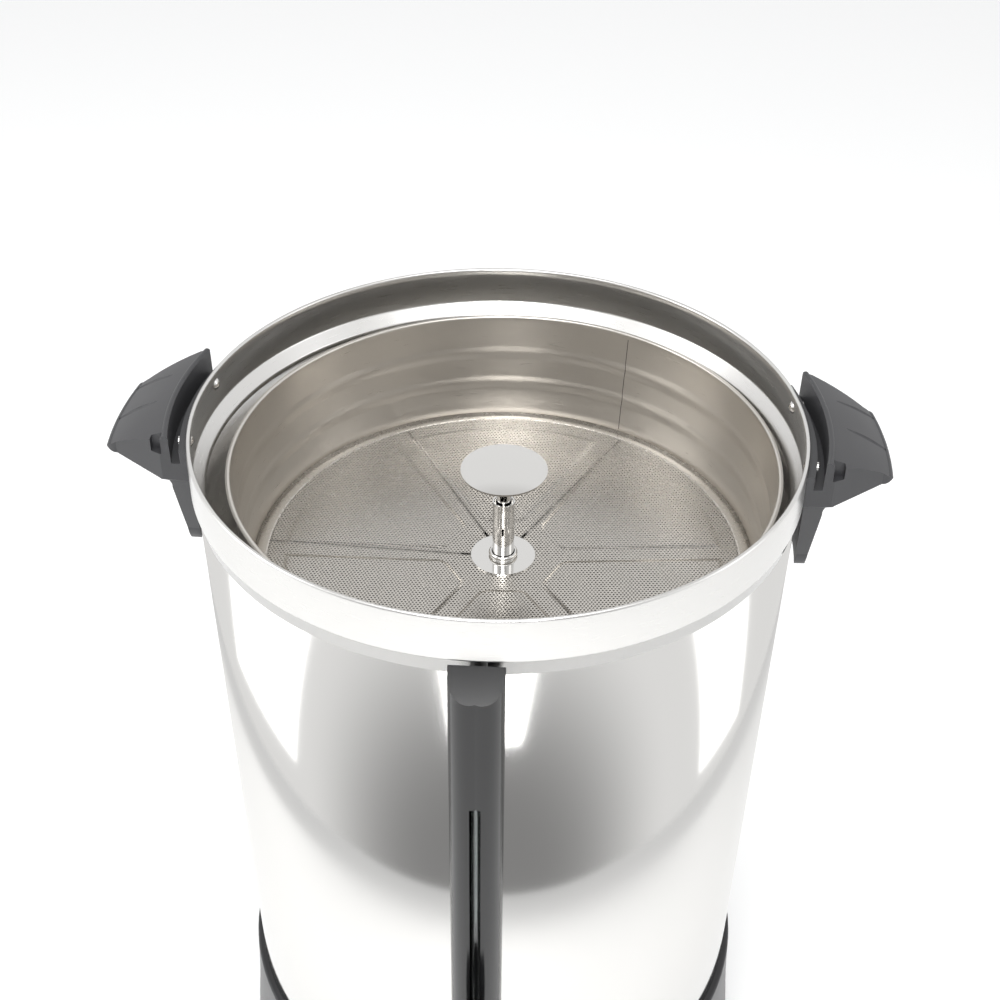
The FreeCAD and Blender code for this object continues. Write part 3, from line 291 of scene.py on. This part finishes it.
def ring_brushed_steel(name, colour, middle_x, low, high):
    """Spun stainless: lines round its axis stretch each highlight across them."""
    material, tree, shader = new_material(name)
    # Lines about 0.4 mm apart, coarser than real ones so that they show.
    lines, normal = grain_bump(tree, ring_place(tree, middle_x, 2.5, 800.0), 0.12, 0.4 * MM, 3.0)
    tree.links.new(normal, shader.inputs["Normal"])
    rough = add(tree, "ShaderNodeMapRange", Value=lines, To_Min=low, To_Max=high)
    tree.links.new(rough.outputs[0], shader.inputs["Roughness"])
    shader.inputs["Metallic"].default_value = 1.0
    shader.inputs["Base Color"].default_value = linear(colour)
    return material


def plain_steel(name, colour, roughness, grain=0.03):
    """Sheet or turned metal, whose faint uneven grain softens the edge of a highlight."""
    material, tree, shader = new_material(name)
    # Patches of grain about 4 mm wide.
    lines, normal = grain_bump(tree, object_place(tree), grain, 0.3 * MM, 260.0)
    tree.links.new(normal, shader.inputs["Normal"])
    rough = add(tree, "ShaderNodeMapRange", Value=lines, To_Min=roughness * 0.8, To_Max=roughness * 1.25)
    tree.links.new(rough.outputs[0], shader.inputs["Roughness"])
    shader.inputs["Metallic"].default_value = 1.0
    shader.inputs["Base Color"].default_value = linear(colour)
    return material


def moulded_plastic(name, colour, roughness, grain):
    """Injection-moulded plastic, whose eroded grain dulls it a little and unevenly."""
    material, tree, shader = new_material(name)
    # Speckle of 0.7 mm, coarser than a real mould's so that it shows, and a gloss that drifts over 3 cm.
    normal = grain_bump(tree, object_place(tree), grain, 0.2 * MM, 1500.0, 2.0)[1]
    tree.links.new(normal, shader.inputs["Normal"])
    cloud = add(tree, "ShaderNodeTexNoise", Vector=object_place(tree), Scale=35.0, Detail=2.0)
    rough = add(tree, "ShaderNodeMapRange", Value=cloud,
                To_Min=roughness * 0.9, To_Max=roughness * 1.12)
    tree.links.new(rough.outputs[0], shader.inputs["Roughness"])
    shader.inputs["Base Color"].default_value = linear(colour)
    return material


def clear_glass(name):
    """Borosilicate sight glass: clear, with faint smears about 2 cm wide."""
    material, tree, shader = new_material(name)
    shader.inputs["Base Color"].default_value = linear("#EEF4F2")
    shader.inputs["Transmission Weight"].default_value = 1.0
    smear = add(tree, "ShaderNodeTexNoise", Vector=object_place(tree), Scale=60.0)
    rough = add(tree, "ShaderNodeMapRange", Value=smear, To_Min=0.0, To_Max=0.04)
    tree.links.new(rough.outputs[0], shader.inputs["Roughness"])
    shader.inputs["IOR"].default_value = 1.47
    return material


def lamp_plastic(name, colour):
    """Unlit translucent indicator lens of moulded polycarbonate, a little cloudy."""
    material, tree, shader = new_material(name)
    cloud = add(tree, "ShaderNodeTexNoise", Vector=object_place(tree), Scale=300.0)
    rough = add(tree, "ShaderNodeMapRange", Value=cloud, To_Min=0.12, To_Max=0.2)
    tree.links.new(rough.outputs[0], shader.inputs["Roughness"])
    shader.inputs["Base Color"].default_value = linear(colour)
    shader.inputs["Transmission Weight"].default_value = 0.3
    shader.inputs["Subsurface Weight"].default_value = 0.2
    return material


def dress(material, *names):
    """Gives a material to nodes of the frame."""
    for name in names:
        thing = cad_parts[name]
        thing.data.materials.clear()
        thing.data.materials.append(material)


def mesh_object(name, points, faces, smooth=True):
    """A new object in the scene from points and faces."""
    mesh = bpy.data.meshes.new(name)
    mesh.from_pydata(points, [], faces)
    mesh.update()
    if smooth:
        mesh.shade_smooth()
    thing = bpy.data.objects.new(name, mesh)
    bpy.context.scene.collection.objects.link(thing)
    return thing


def panel_lift(x, y, sizes):
    """Height that the raised panels add at a place on the strainer, measured from its middle."""
    radius = math.hypot(x, y)
    step = 2 * math.pi / sizes.panels
    turn = math.atan2(y, x) - sizes.first_panel
    turn -= step * round(turn / step)
    along = radius * math.cos(turn)
    across = abs(radius * math.sin(turn))
    half = step / 2
    to_spoke = along * math.sin(half) - across * math.cos(half) - sizes.spoke / 2
    to_start = along - sizes.panel_inner
    to_end = sizes.panel_outer - radius
    corner = 4.0 * MM  # radius of a panel's corners
    inset_a = corner - to_spoke
    inset_b = corner - to_start
    if inset_a > 0 and inset_b > 0:
        inside = corner - math.hypot(inset_a, inset_b)
    else:
        inside = min(to_spoke, to_start)
    inside = min(inside, to_end)
    t = min(1.0, max(0.0, inside / sizes.crease))
    return sizes.rise * t * t * (3 - 2 * t)


def plate_level(x, y, sizes):
    """Height of the strainer's top over its lowest point: a shallow dish with the panels on it."""
    radius = math.hypot(x, y)
    flat_margin = 6 * MM
    flat_r = (HUB_HIGH.x - HUB_LOW.x) / 2 + flat_margin
    t = min(1.0, max(0.0, (radius - flat_r) / (sizes.zone - flat_r)))
    return DISH * t + panel_lift(x, y, sizes)


def strainer_form(sizes, base_z):
    """A fine polar surface with the pressed form, which the perforated sheet follows."""
    rings = 230
    spokes = 720
    overlap = 3 * MM
    outer = sizes.zone + overlap
    points = [(BASKET_X, AXIS_Y, base_z)]
    for i in range(1, rings + 1):
        r = outer * i / rings
        for k in range(spokes):
            a = 2 * math.pi * k / spokes
            x = r * math.cos(a)
            y = r * math.sin(a)
            points.append((BASKET_X + x, AXIS_Y + y, base_z + plate_level(x, y, sizes)))
    faces = []
    for k in range(spokes):
        faces.append((0, 1 + k, 1 + (k + 1) % spokes))
    for i in range(rings - 1):
        a = 1 + i * spokes
        b = a + spokes
        for k in range(spokes):
            n = (k + 1) % spokes
            faces.append((a + k, b + k, b + n, a + n))
    return mesh_object("strainer_form", points, faces)


def hole_cell(sizes):
    """One cell of perforated sheet: a hexagon with a hexagonal hole, closed but for its outer sides."""
    overlap = 1.004  # makes neighbouring cells meet, so that they weld
    outer = sizes.pitch / math.sqrt(3) * overlap
    inner = sizes.hole / math.sqrt(3)
    points = []
    for z in (0.0, -sizes.sheet):
        for r in (outer, inner):
            for k in range(6):
                a = math.radians(60 * k + 30)
                points.append((r * math.cos(a), r * math.sin(a), z))
    faces = []
    for k in range(6):
        n = (k + 1) % 6
        faces.append((k, n, 6 + n, 6 + k))
        faces.append((12 + n, 12 + k, 18 + k, 18 + n))
        faces.append((6 + k, 6 + n, 18 + n, 18 + k))
    return mesh_object("strainer_cell", points, faces, smooth=False)


def perforation_tree(material):
    """Node tree that lays one cell at each hole of a sector and presses the sheet on to the form."""
    tree = bpy.data.node_groups.new("Perforated sector", "GeometryNodeTree")
    face = tree.interface
    face.new_socket("Geometry", in_out="INPUT", socket_type="NodeSocketGeometry")
    for name, kind in (("Cell", "Object"), ("Form", "Object"), ("Pitch", "Float"), ("Zone", "Float"),
                       ("Hub", "Float"), ("Middle", "Vector"), ("Start", "Float"), ("Width", "Float")):
        face.new_socket(name, in_out="INPUT", socket_type="NodeSocket" + kind)
    face.new_socket("Geometry", in_out="OUTPUT", socket_type="NodeSocketGeometry")
    given = tree.nodes.new("NodeGroupInput").outputs
    result = tree.nodes.new("NodeGroupOutput")
    pitch = given["Pitch"]
    zone = given["Zone"]
    middle = given["Middle"]
    times = {"operation": "MULTIPLY"}
    over = {"operation": "DIVIDE"}
    plus = {"operation": "ADD"}
    less = {"operation": "SUBTRACT"}
    larger = {"operation": "GREATER_THAN"}

    # A grid of points that covers the zone, with rows as far apart as in a triangular pattern.
    row_pitch = add(tree, "ShaderNodeMath", times, in0=pitch, in1=math.sqrt(3) / 2)
    counts = []
    lengths = []
    for step in (pitch, row_pitch):
        share = add(tree, "ShaderNodeMath", over, in0=zone, in1=step)
        half = add(tree, "ShaderNodeMath", {"operation": "CEIL"}, in0=share)
        gaps = add(tree, "ShaderNodeMath", times, in0=half, in1=2.0)
        counts.append(add(tree, "ShaderNodeMath", plus, in0=gaps, in1=1.0))
        lengths.append(add(tree, "ShaderNodeMath", times, in0=gaps, in1=step))
    grid = add(tree, "GeometryNodeMeshGrid", Size_X=lengths[0], Size_Y=lengths[1],
               Vertices_X=counts[0], Vertices_Y=counts[1])

    # Every other row moves along by half a pitch.
    here = add(tree, "GeometryNodeInputPosition")
    parts = add(tree, "ShaderNodeSeparateXYZ", Vector=here)
    row = add(tree, "ShaderNodeMath", over, in0=parts.outputs[1], in1=row_pitch)
    whole = add(tree, "ShaderNodeMath", {"operation": "ROUND"}, in0=row)
    rest = add(tree, "ShaderNodeMath", {"operation": "MODULO"}, in0=whole, in1=2.0)
    odd = add(tree, "ShaderNodeMath", {"operation": "ABSOLUTE"}, in0=rest)
    half_pitch = add(tree, "ShaderNodeMath", times, in0=pitch, in1=0.5)
    shift = add(tree, "ShaderNodeMath", times, in0=odd, in1=half_pitch)
    offset = add(tree, "ShaderNodeCombineXYZ", X=shift)
    laid = add(tree, "GeometryNodeSetPosition", Geometry=grid, Offset=offset)

    # Points outside the zone, in the hub or in another sector are dropped.
    turn = add(tree, "ShaderNodeMath", {"operation": "ARCTAN2"}, in0=parts.outputs[1], in1=parts)
    since = add(tree, "ShaderNodeMath", less, in0=turn, in1=given["Start"])
    past = add(tree, "ShaderNodeMath", {"operation": "FLOORED_MODULO"}, in0=since, in1=2 * math.pi)
    radius = add(tree, "ShaderNodeVectorMath", {"operation": "LENGTH"}, in0=here).outputs["Value"]
    far = add(tree, "ShaderNodeMath", larger, in0=radius, in1=zone)
    near = add(tree, "ShaderNodeMath", {"operation": "LESS_THAN"}, in0=radius, in1=given["Hub"])
    other = add(tree, "ShaderNodeMath", larger, in0=past, in1=given["Width"])
    outside = add(tree, "ShaderNodeMath", plus, in0=far, in1=near)
    faults = add(tree, "ShaderNodeMath", plus, in0=outside, in1=other)
    drop = add(tree, "ShaderNodeMath", larger, in0=faults, in1=0.5)
    kept = add(tree, "GeometryNodeDeleteGeometry", {"domain": "POINT"}, Geometry=laid, Selection=drop)
    cell = add(tree, "GeometryNodeObjectInfo", Object=given["Cell"])
    cells = add(tree, "GeometryNodeInstanceOnPoints", Points=kept, Instance=cell.outputs["Geometry"])
    sheet = add(tree, "GeometryNodeRealizeInstances", Geometry=cells)
    centred = add(tree, "GeometryNodeSetPosition", Geometry=sheet, Offset=middle)

    # A ray from 50 mm above, straight down on to the form, gives each point its height.
    form = add(tree, "GeometryNodeObjectInfo", Object=given["Form"])
    above = add(tree, "ShaderNodeVectorMath", {"operation": "ADD"}, in0=here, in1=(0, 0, 50 * MM))
    ray = add(tree, "GeometryNodeRaycast", Target_Geometry=form.outputs["Geometry"],
              Source_Position=above, Ray_Direction=(0, 0, -1), Ray_Length=200 * MM)
    fall = add(tree, "ShaderNodeVectorMath", less, in0=ray.outputs["Hit Position"], in1=middle)
    lift = add(tree, "ShaderNodeVectorMath", times, in0=fall, in1=(0, 0, 1))
    pressed = add(tree, "GeometryNodeSetPosition", Geometry=centred, Offset=lift)
    welded = add(tree, "GeometryNodeMergeByDistance", Geometry=pressed, Distance=0.04 * MM)
    plain = add(tree, "GeometryNodeRealizeInstances", Geometry=welded)
    painted = add(tree, "GeometryNodeSetMaterial", Geometry=plain, Material=material)
    tree.links.new(painted.outputs[0], result.inputs[0])
    return tree


def set_inputs(modifier, values):
    """Sets a tree's named inputs by their identifiers."""
    for item in modifier.node_group.interface.items_tree:
        if item.in_out == "INPUT" and item.name in values:
            modifier[item.identifier] = values[item.name]


def grown(name, tree, values):
    """The plain mesh that a tree makes with these inputs."""
    host = mesh_object(name + "_host", [], [])
    modifier = host.modifiers.new("Grow", "NODES")
    modifier.node_group = tree
    set_inputs(modifier, values)
    bpy.context.view_layer.update()
    depsgraph = bpy.context.evaluated_depsgraph_get()
    mesh = bpy.data.meshes.new_from_object(host.evaluated_get(depsgraph))
    thing = bpy.data.objects.new(name, mesh)
    bpy.context.scene.collection.objects.link(thing)
    bpy.data.objects.remove(host)
    return thing


def turned_shell(name, profile, middle_x, steps=256):
    """A closed profile of (radius, height) pairs turned round the vertical axis through middle_x."""
    points = []
    faces = []
    count = len(profile)
    for k in range(steps):
        a = 2 * math.pi * k / steps
        for r, z in profile:
            points.append((middle_x + r * math.cos(a), AXIS_Y + r * math.sin(a), z))
    for k in range(steps):
        n = (k + 1) % steps
        for i in range(count):
            j = (i + 1) % count
            faces.append((k * count + i, n * count + i, n * count + j, k * count + j))
    return mesh_object(name, points, faces)


def bend(middle, radius, start, end, steps=10):
    """Points (radius, height) along an arc in a profile, by its angles in degrees."""
    points = []
    for i in range(steps + 1):
        a = math.radians(start + (end - start) * i / steps)
        points.append((middle[0] + radius * math.cos(a), middle[1] + radius * math.sin(a)))
    return points


def collar_profile(sizes):
    """Collar from the wall's top, up the band, over the hem and down the inside to the ledge."""
    foot = RIM_Z - sizes.band
    wall_r = WALL_HIGH.x
    wall_z = COLLAR_LOW.z
    wall_rise = 0.8 * MM
    roll = 1.8 * MM
    hem_r = sizes.hem / 2
    hem_z = RIM_Z - sizes.hem_height
    hem_slope = 1 * MM
    inner = RIM_R - sizes.sheet
    throat = 1.5 * MM
    throat_z = foot + 3.4 * MM
    shoulder_z = foot + 4.2 * MM
    ledge_r = RIM_R - sizes.ledge
    ledge_z = (foot + wall_z) / 2
    bead = 2.2 * MM
    points = [(wall_r, wall_z), (wall_r, foot - wall_rise)]
    points += bend((RIM_R - roll, foot + roll), roll, -70, 0)
    points += bend((RIM_R - hem_r, RIM_Z - hem_r), hem_r, 0, 180)
    points += [(RIM_R - sizes.hem, hem_z), (inner, hem_z - hem_slope), (inner, shoulder_z)]
    points += bend((inner - throat, throat_z), throat, 0, -50, 5)
    points += bend((ledge_r + bead, ledge_z), bead, 130, 230)
    points += [(wall_r - sizes.sheet, wall_z)]
    return points


def wall_profile(sizes):
    """Tapered wall with its straight foot."""
    top_r = WALL_HIGH.x
    foot_r = top_r - sizes.taper
    straight_z = WALL_LOW.z + sizes.foot_straight
    t = sizes.sheet
    return [(foot_r, WALL_LOW.z), (foot_r, straight_z), (top_r, WALL_HIGH.z),
            (top_r - t, WALL_HIGH.z), (foot_r - t, straight_z), (foot_r - t, WALL_LOW.z)]


def basket_line(sizes, z, rim_r):
    """Radius of the basket's outside at a height, with the soft pressed rings."""
    share = (BASKET_HIGH.z - z) / (BASKET_HIGH.z - BASKET_LOW.z)
    radius = rim_r - sizes.basket_hem + sizes.basket_sheet - sizes.basket_taper * share
    for i in range(RING_COUNT):
        middle = BASKET_HIGH.z - sizes.ring_drop - i * sizes.ring_pitch
        near = abs(z - middle) / sizes.ring_half
        if near < 1:
            radius += sizes.ring_depth * (0.5 + 0.5 * math.cos(math.pi * near))
    return radius


def basket_profile(sizes):
    """Basket wall with its hem and soft rings, as one closed line."""
    rim_r = BASKET_HIGH.x - BASKET_X
    hem = sizes.basket_hem
    start_z = BASKET_HIGH.z - hem
    steps = 64
    outer = []
    for i in range(steps + 1):
        z = BASKET_LOW.z + (start_z - BASKET_LOW.z) * i / steps
        outer.append((basket_line(sizes, z, rim_r), z))
    roll = bend((rim_r - hem / 2, BASKET_HIGH.z - hem / 2), hem / 2, -60, 180, 16)
    inner = [(r - sizes.basket_sheet, z) for r, z in reversed(outer)]
    return outer + roll + inner


def seam_strip(sizes):
    """The basket's weld: a fine upright line on the inside of its wall."""
    rim_r = BASKET_HIGH.x - BASKET_X
    half_width = 0.35 * MM
    half = half_width / rim_r
    crown = 0.12 * MM
    edge = -0.05 * MM
    foot_gap = 2.5 * MM
    rim_gap = 3.0 * MM
    steps = 40
    low = BASKET_LOW.z + foot_gap
    high = BASKET_HIGH.z - rim_gap
    points = []
    faces = []
    for i in range(steps + 1):
        z = low + (high - low) * i / steps
        r = basket_line(sizes, z, rim_r) - sizes.basket_sheet
        for turn, lift in ((-half, edge), (0.0, crown), (half, edge)):
            a = sizes.seam + turn
            reach = r - lift
            points.append((BASKET_X + reach * math.cos(a), AXIS_Y + reach * math.sin(a), z))
    for i in range(steps):
        for k in range(2):
            a = 3 * i + k
            faces.append((a, a + 1, a + 4, a + 3))
    return mesh_object("basket_seam", points, faces)


def stand_for(piece, material, slot, body, *nodes):
    """Dresses a finely turned piece that stands for nodes of the frame."""
    piece.data.materials.append(material)
    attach(piece, body)
    if nodes:
        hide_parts(*nodes)


class URN_OT_strainer(bpy.types.Operator):
    """Perforated strainer plate with its raised panels, plain border and centre."""

    bl_idname = "urn.strainer"
    bl_label = "Strainer plate"

    def execute(self, context):
        sizes = context.scene.urn_strainer
        finish = context.scene.urn_finish
        steel = plain_steel("Perforated stainless sheet", finish.satin, 0.26)
        base_z = HUB_LOW.z
        form = strainer_form(sizes, base_z)
        cell = hole_cell(sizes)
        tree = perforation_tree(steel)
        hub_lap = 1.5 * MM
        hub_r = (HUB_HIGH.x - HUB_LOW.x) / 2 - hub_lap
        sleeve_low, sleeve_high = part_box("tube_sleeve")
        sleeve_r = (sleeve_high.x - sleeve_low.x) / 2
        width = 2 * math.pi / sizes.panels
        pieces = []
        for i in range(sizes.panels):
            piece = grown("strainer_sector_%d" % (i + 1), tree, {
                "Cell": cell,
                "Form": form,
                "Pitch": sizes.pitch,
                "Zone": sizes.zone - sizes.pitch / 2,
                "Hub": hub_r,
                "Middle": (BASKET_X, AXIS_Y, base_z),
                "Start": i * width,
                "Width": width,
            })
            pieces.append(piece)
        bpy.data.objects.remove(form)
        bpy.data.objects.remove(cell)
        border_lap = 0.9 * MM
        slope = 1 * MM
        inner = sizes.zone - border_lap
        level = base_z + DISH
        margin_r = (PLATE_HIGH.x - PLATE_LOW.x) / 2
        border = turned_shell("strainer_border", [
            (margin_r, level - sizes.sheet),
            (margin_r, level),
            (inner + slope, level),
            (inner, level - 0.1 * MM),
            (inner, level - sizes.sheet),
        ], BASKET_X, 192)
        hub_top = base_z - 0.02 * MM
        hub_edge = hub_r + 1 * MM
        hub = turned_shell("strainer_middle", [
            (hub_edge, base_z - sizes.sheet),
            (hub_edge, hub_top),
            (sleeve_r, hub_top),
            (sleeve_r, base_z - sizes.sheet),
        ], BASKET_X, 192)
        for piece in (border, hub):
            piece.data.materials.append(steel)
            pieces.append(piece)
        for piece in pieces:
            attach(piece, "basket")
        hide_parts("strainer_plate")
        return {"FINISHED"}


class URN_OT_vessel(bpy.types.Operator):
    """Collar, wall and floor of the vessel, and the heaters under it."""

    bl_idname = "urn.vessel"
    bl_label = "Vessel"

    def execute(self, context):
        finish = context.scene.urn_finish
        sizes = context.scene.urn_shells
        steel = vessel_steel(finish)
        collar = turned_shell("collar_shell", collar_profile(sizes), 0.0)
        stand_for(collar, steel, "rim_steel", "urn", "collar")
        wall = turned_shell("wall_shell", wall_profile(sizes), 0.0)
        stand_for(wall, steel, "rim_steel", "urn", "vessel_wall")
        inside = ring_brushed_steel("Tank stainless", finish.satin, 0.0, 0.22, 0.34)
        dress(inside, "vessel_floor", "fuse_clip")
        dress(plain_steel("Heater alloy", "#9A9894", 0.4), "heater_ring")
        dress(moulded_plastic("Heater ceramic", "#6E6A64", 0.6, 0.1), "keep_warm_ring", "thermal_fuse")
        dress(moulded_plastic("Thermostat moulding", "#8A6A4A", 0.45, 0.05), "brew_thermostat")
        return {"FINISHED"}


class URN_OT_basket(bpy.types.Operator):
    """Basket wall with its weld seam."""

    bl_idname = "urn.basket"
    bl_label = "Basket"

    def execute(self, context):
        finish = context.scene.urn_finish
        sizes = context.scene.urn_shells
        steel = ring_brushed_steel("Basket stainless", finish.satin, BASKET_X, 0.24, 0.36)
        wall = turned_shell("basket_shell", basket_profile(sizes), BASKET_X)
        stand_for(wall, steel, "basket_steel", "basket", "basket_wall")
        weld = plain_steel("Basket weld", "#6E6A66", 0.4)
        stand_for(seam_strip(sizes), weld, "basket_steel", "basket")
        return {"FINISHED"}


class URN_OT_pump(bpy.types.Operator):
    """Pump tube, foot, centre disc and spreader cap."""

    bl_idname = "urn.pump"
    bl_label = "Pump and spreader"

    def execute(self, context):
        finish = context.scene.urn_finish
        bright = plain_steel("Bright stainless", finish.steel, 0.09, 0.015)
        dress(bright, "pump_tube", "basket_seat_collar", "pump_bell", "valve_seat", "valve_stop",
              "valve_disc", "centre_disc", "tube_sleeve", "spreader_cap", "cap_stem")
        return {"FINISHED"}


class URN_OT_handles(bpy.types.Operator):
    """Side handles and their rivets."""

    bl_idname = "urn.handles"
    bl_label = "Handles"

    def execute(self, context):
        finish = context.scene.urn_finish
        dress(moulded_plastic("Handle plastic", finish.handle, 0.42, 0.12), "handle_left", "handle_right")
        dress(plain_steel("Rivet steel", finish.steel, 0.14), "rivets_left", "rivets_right")
        return {"FINISHED"}


class URN_OT_tap(bpy.types.Operator):
    """Tap, its lever, and the level gauge above it."""

    bl_idname = "urn.tap"
    bl_label = "Tap and gauge"

    def execute(self, context):
        finish = context.scene.urn_finish
        black = moulded_plastic("Gloss black plastic", finish.gloss_black, 0.16, 0.02)
        dress(black, "tap_body", "tap_bonnet", "gauge_column", "gauge_foot", "gauge_spacer", "valve_stem")
        dress(moulded_plastic("Lever plastic", finish.base, 0.3, 0.05), "tap_lever", "tap_nut")
        dress(moulded_plastic("Seal rubber", "#2A2A2A", 0.7, 0.2), "tap_seal_outer", "tap_seal_inner",
              "gauge_seals", "valve_cup")
        dress(plain_steel("Pin and spring steel", finish.steel, 0.2), "lever_pin", "valve_spring")
        dress(clear_glass("Sight glass"), "sight_glass")
        return {"FINISHED"}


class URN_OT_base(bpy.types.Operator):
    """Base skirt, cover, feet, lamps, switch and power inlet."""

    bl_idname = "urn.base"
    bl_label = "Base and controls"

    def execute(self, context):
        finish = context.scene.urn_finish
        dress(moulded_plastic("Base plastic", finish.base, 0.34, 0.1), "base_skirt", "base_cover")
        dress(plain_steel("Zinc plated screws", "#C9C9C4", 0.3), "cover_screws")
        dress(moulded_plastic("Foot rubber", "#202020", 0.75, 0.25), "feet")
        dress(lamp_plastic("Green lamp lens", "#2F8F45"), "lamp_ready")
        dress(lamp_plastic("Red lamp lens", "#B3231A"), "lamp_power")
        dress(moulded_plastic("Switch frame plastic", "#1B1B1C", 0.3, 0.04), "switch_frame", "inlet_shell")
        dress(moulded_plastic("Rocker plastic", "#141414", 0.2, 0.02), "switch_rocker")
        dress(plain_steel("Inlet brass", "#D8B46A", 0.25), "inlet_blades")
        return {"FINISHED"}


def camera(stage):
    """The photograph's camera, fitted to the rim, the ledge, the basket's rim and the strainer's edge."""
    data = bpy.data.cameras.new("Photograph")
    data.lens = stage.lens
    data.sensor_width = 36.0
    thing = bpy.data.objects.new("Photograph", data)
    bpy.context.scene.collection.objects.link(thing)
    place = Matrix.Translation((stage.aside, -stage.distance, RIM_Z + stage.above))
    aim = Euler((math.pi / 2 - stage.pitch, 0, 0)).to_matrix().to_4x4()
    roll = Matrix.Rotation(stage.roll, 4, "Z")
    turn = Matrix.Rotation(stage.turn, 4, "Z")
    middle = Matrix.Translation((0.0, AXIS_Y, 0.0))
    thing.matrix_world = middle @ turn @ place @ aim @ roll
    bpy.context.scene.camera = thing


def white_world():
    """White for the camera and glass, a room darker in front and above for metal, pale light for the rest."""
    world = bpy.data.worlds.new("Studio")
    bpy.context.scene.world = world
    world.use_nodes = True
    tree = world.node_tree
    tree.nodes.clear()
    place = add(tree, "ShaderNodeTexCoord")
    parts = add(tree, "ShaderNodeSeparateXYZ", Vector=place.outputs["Generated"])
    soft = add(tree, "ShaderNodeBackground", Color=linear("#F4F5F7"), Strength=0.6)
    # What the metal mirrors: white all round, grey overhead, and darker towards the front.
    height = add(tree, "ShaderNodeMapRange", Value=parts.outputs[2], From_Min=-1.0, From_Max=1.0)
    ramp = add(tree, "ShaderNodeValToRGB", Fac=height)
    stops = ramp.color_ramp.elements
    stops[0].position = 0.86
    stops[0].color = linear("#FFFFFF")
    stops[1].position = 0.98
    stops[1].color = linear("#A8A6A4")
    front = add(tree, "ShaderNodeMapRange", {"interpolation_type": "SMOOTHSTEP"}, Value=parts.outputs[1],
                From_Min=-0.98, From_Max=-0.4, To_Min=0.3, To_Max=1.0)
    seen = add(tree, "ShaderNodeBackground", Color=ramp, Strength=front)
    white = add(tree, "ShaderNodeBackground", Color=(1, 1, 1, 1), Strength=1.0)
    path = add(tree, "ShaderNodeLightPath")
    glossy = add(tree, "ShaderNodeMixShader", in0=path.outputs["Is Glossy Ray"], in1=soft,
                 in2=seen)
    glass = add(tree, "ShaderNodeMixShader", in0=path.outputs["Is Transmission Ray"], in1=glossy,
                in2=white)
    view = add(tree, "ShaderNodeMixShader", in0=path.outputs["Is Camera Ray"], in1=glass,
               in2=white)
    add(tree, "ShaderNodeOutputWorld", Surface=view)


def area_lamp(name, place, aim, size, watts):
    """A soft rectangular lamp."""
    data = bpy.data.lights.new(name, "AREA")
    data.shape = "RECTANGLE"
    data.size = size[0]
    data.size_y = size[1]
    data.energy = watts
    thing = bpy.data.objects.new(name, data)
    bpy.context.scene.collection.objects.link(thing)
    thing.location = place
    thing.rotation_euler = (Vector(aim) - Vector(place)).to_track_quat("-Z", "Y").to_euler()


class URN_OT_stage(bpy.types.Operator):
    """Floor, light and the photograph's camera."""

    bl_idname = "urn.stage"
    bl_label = "Stage and camera"

    def execute(self, context):
        stage = context.scene.urn_stage
        context.scene.view_settings.view_transform = "Standard"
        half = 6  # metres
        corners = [(-half, -half, 0), (half, -half, 0), (half, half, 0), (-half, half, 0)]
        floor = mesh_object("Floor", corners, [(0, 1, 2, 3)])
        material, _, shader = new_material("Pale floor")
        shader.inputs["Base Color"].default_value = linear("#F3F3F2")
        shader.inputs["Roughness"].default_value = 0.6
        shader.inputs["Emission Color"].default_value = linear("#FFFFFF")
        shader.inputs["Emission Strength"].default_value = 0.3
        floor.data.materials.append(material)
        white_world()
        area_lamp("Overhead", (0.0, -0.35, 2.0), (0, 0, 0.3), (1.4, 1.0), 14)
        area_lamp("Front floor", (0.0, -0.8, 1.0), (0, -0.5, 0), (0.4, 0.4), 5)
        area_lamp("Left", (-1.5, -0.2, 1.1), (0, 0, 0.3), (0.9, 1.4), 8)
        area_lamp("Right", (1.6, -0.1, 1.0), (0, 0, 0.3), (0.6, 1.4), 3)
        camera(stage)
        return {"FINISHED"}


OPERATORS = (URN_OT_vessel, URN_OT_strainer, URN_OT_basket, URN_OT_pump, URN_OT_handles, URN_OT_tap,
             URN_OT_base, URN_OT_stage)
SETTINGS = {
    "urn_strainer": UrnStrainerSettings,
    "urn_shells": UrnShellSettings,
    "urn_finish": UrnFinishSettings,
    "urn_stage": UrnStageSettings,
}


class URN_PT_panel(bpy.types.Panel):
    """Lists the pieces of the urn."""

    bl_idname = "URN_PT_panel"
    bl_label = "Coffee Urn"
    bl_space_type = "VIEW_3D"
    bl_region_type = "UI"
    bl_category = "Coffee Urn"

    def draw(self, context):
        for operator in OPERATORS:
            self.layout.operator(operator.bl_idname, text=operator.bl_label)
        for group_name in SETTINGS:
            group = getattr(context.scene, group_name)
            box = self.layout.box()
            for name in group.bl_rna.properties.keys():
                if name not in ("rna_type", "name"):
                    box.prop(group, name)


CLASSES = (*SETTINGS.values(), *OPERATORS, URN_PT_panel)


def register():
    """Registers the classes and hangs the settings on the scene."""
    for item in CLASSES:
        bpy.utils.register_class(item)
    for name, group in SETTINGS.items():
        setattr(bpy.types.Scene, name, bpy.props.PointerProperty(type=group))


def unregister():
    """Takes the settings and the classes away again."""
    for name in reversed(SETTINGS):
        delattr(bpy.types.Scene, name)
    for item in reversed(CLASSES):
        bpy.utils.unregister_class(item)


def main():
    """Makes every piece and the stage."""
    register()
    bpy.ops.urn.vessel()
    bpy.ops.urn.strainer()
    bpy.ops.urn.basket()
    bpy.ops.urn.pump()
    bpy.ops.urn.handles()
    bpy.ops.urn.tap()
    bpy.ops.urn.base()
    bpy.ops.urn.stage()


if __name__ == "__main__":
    main()
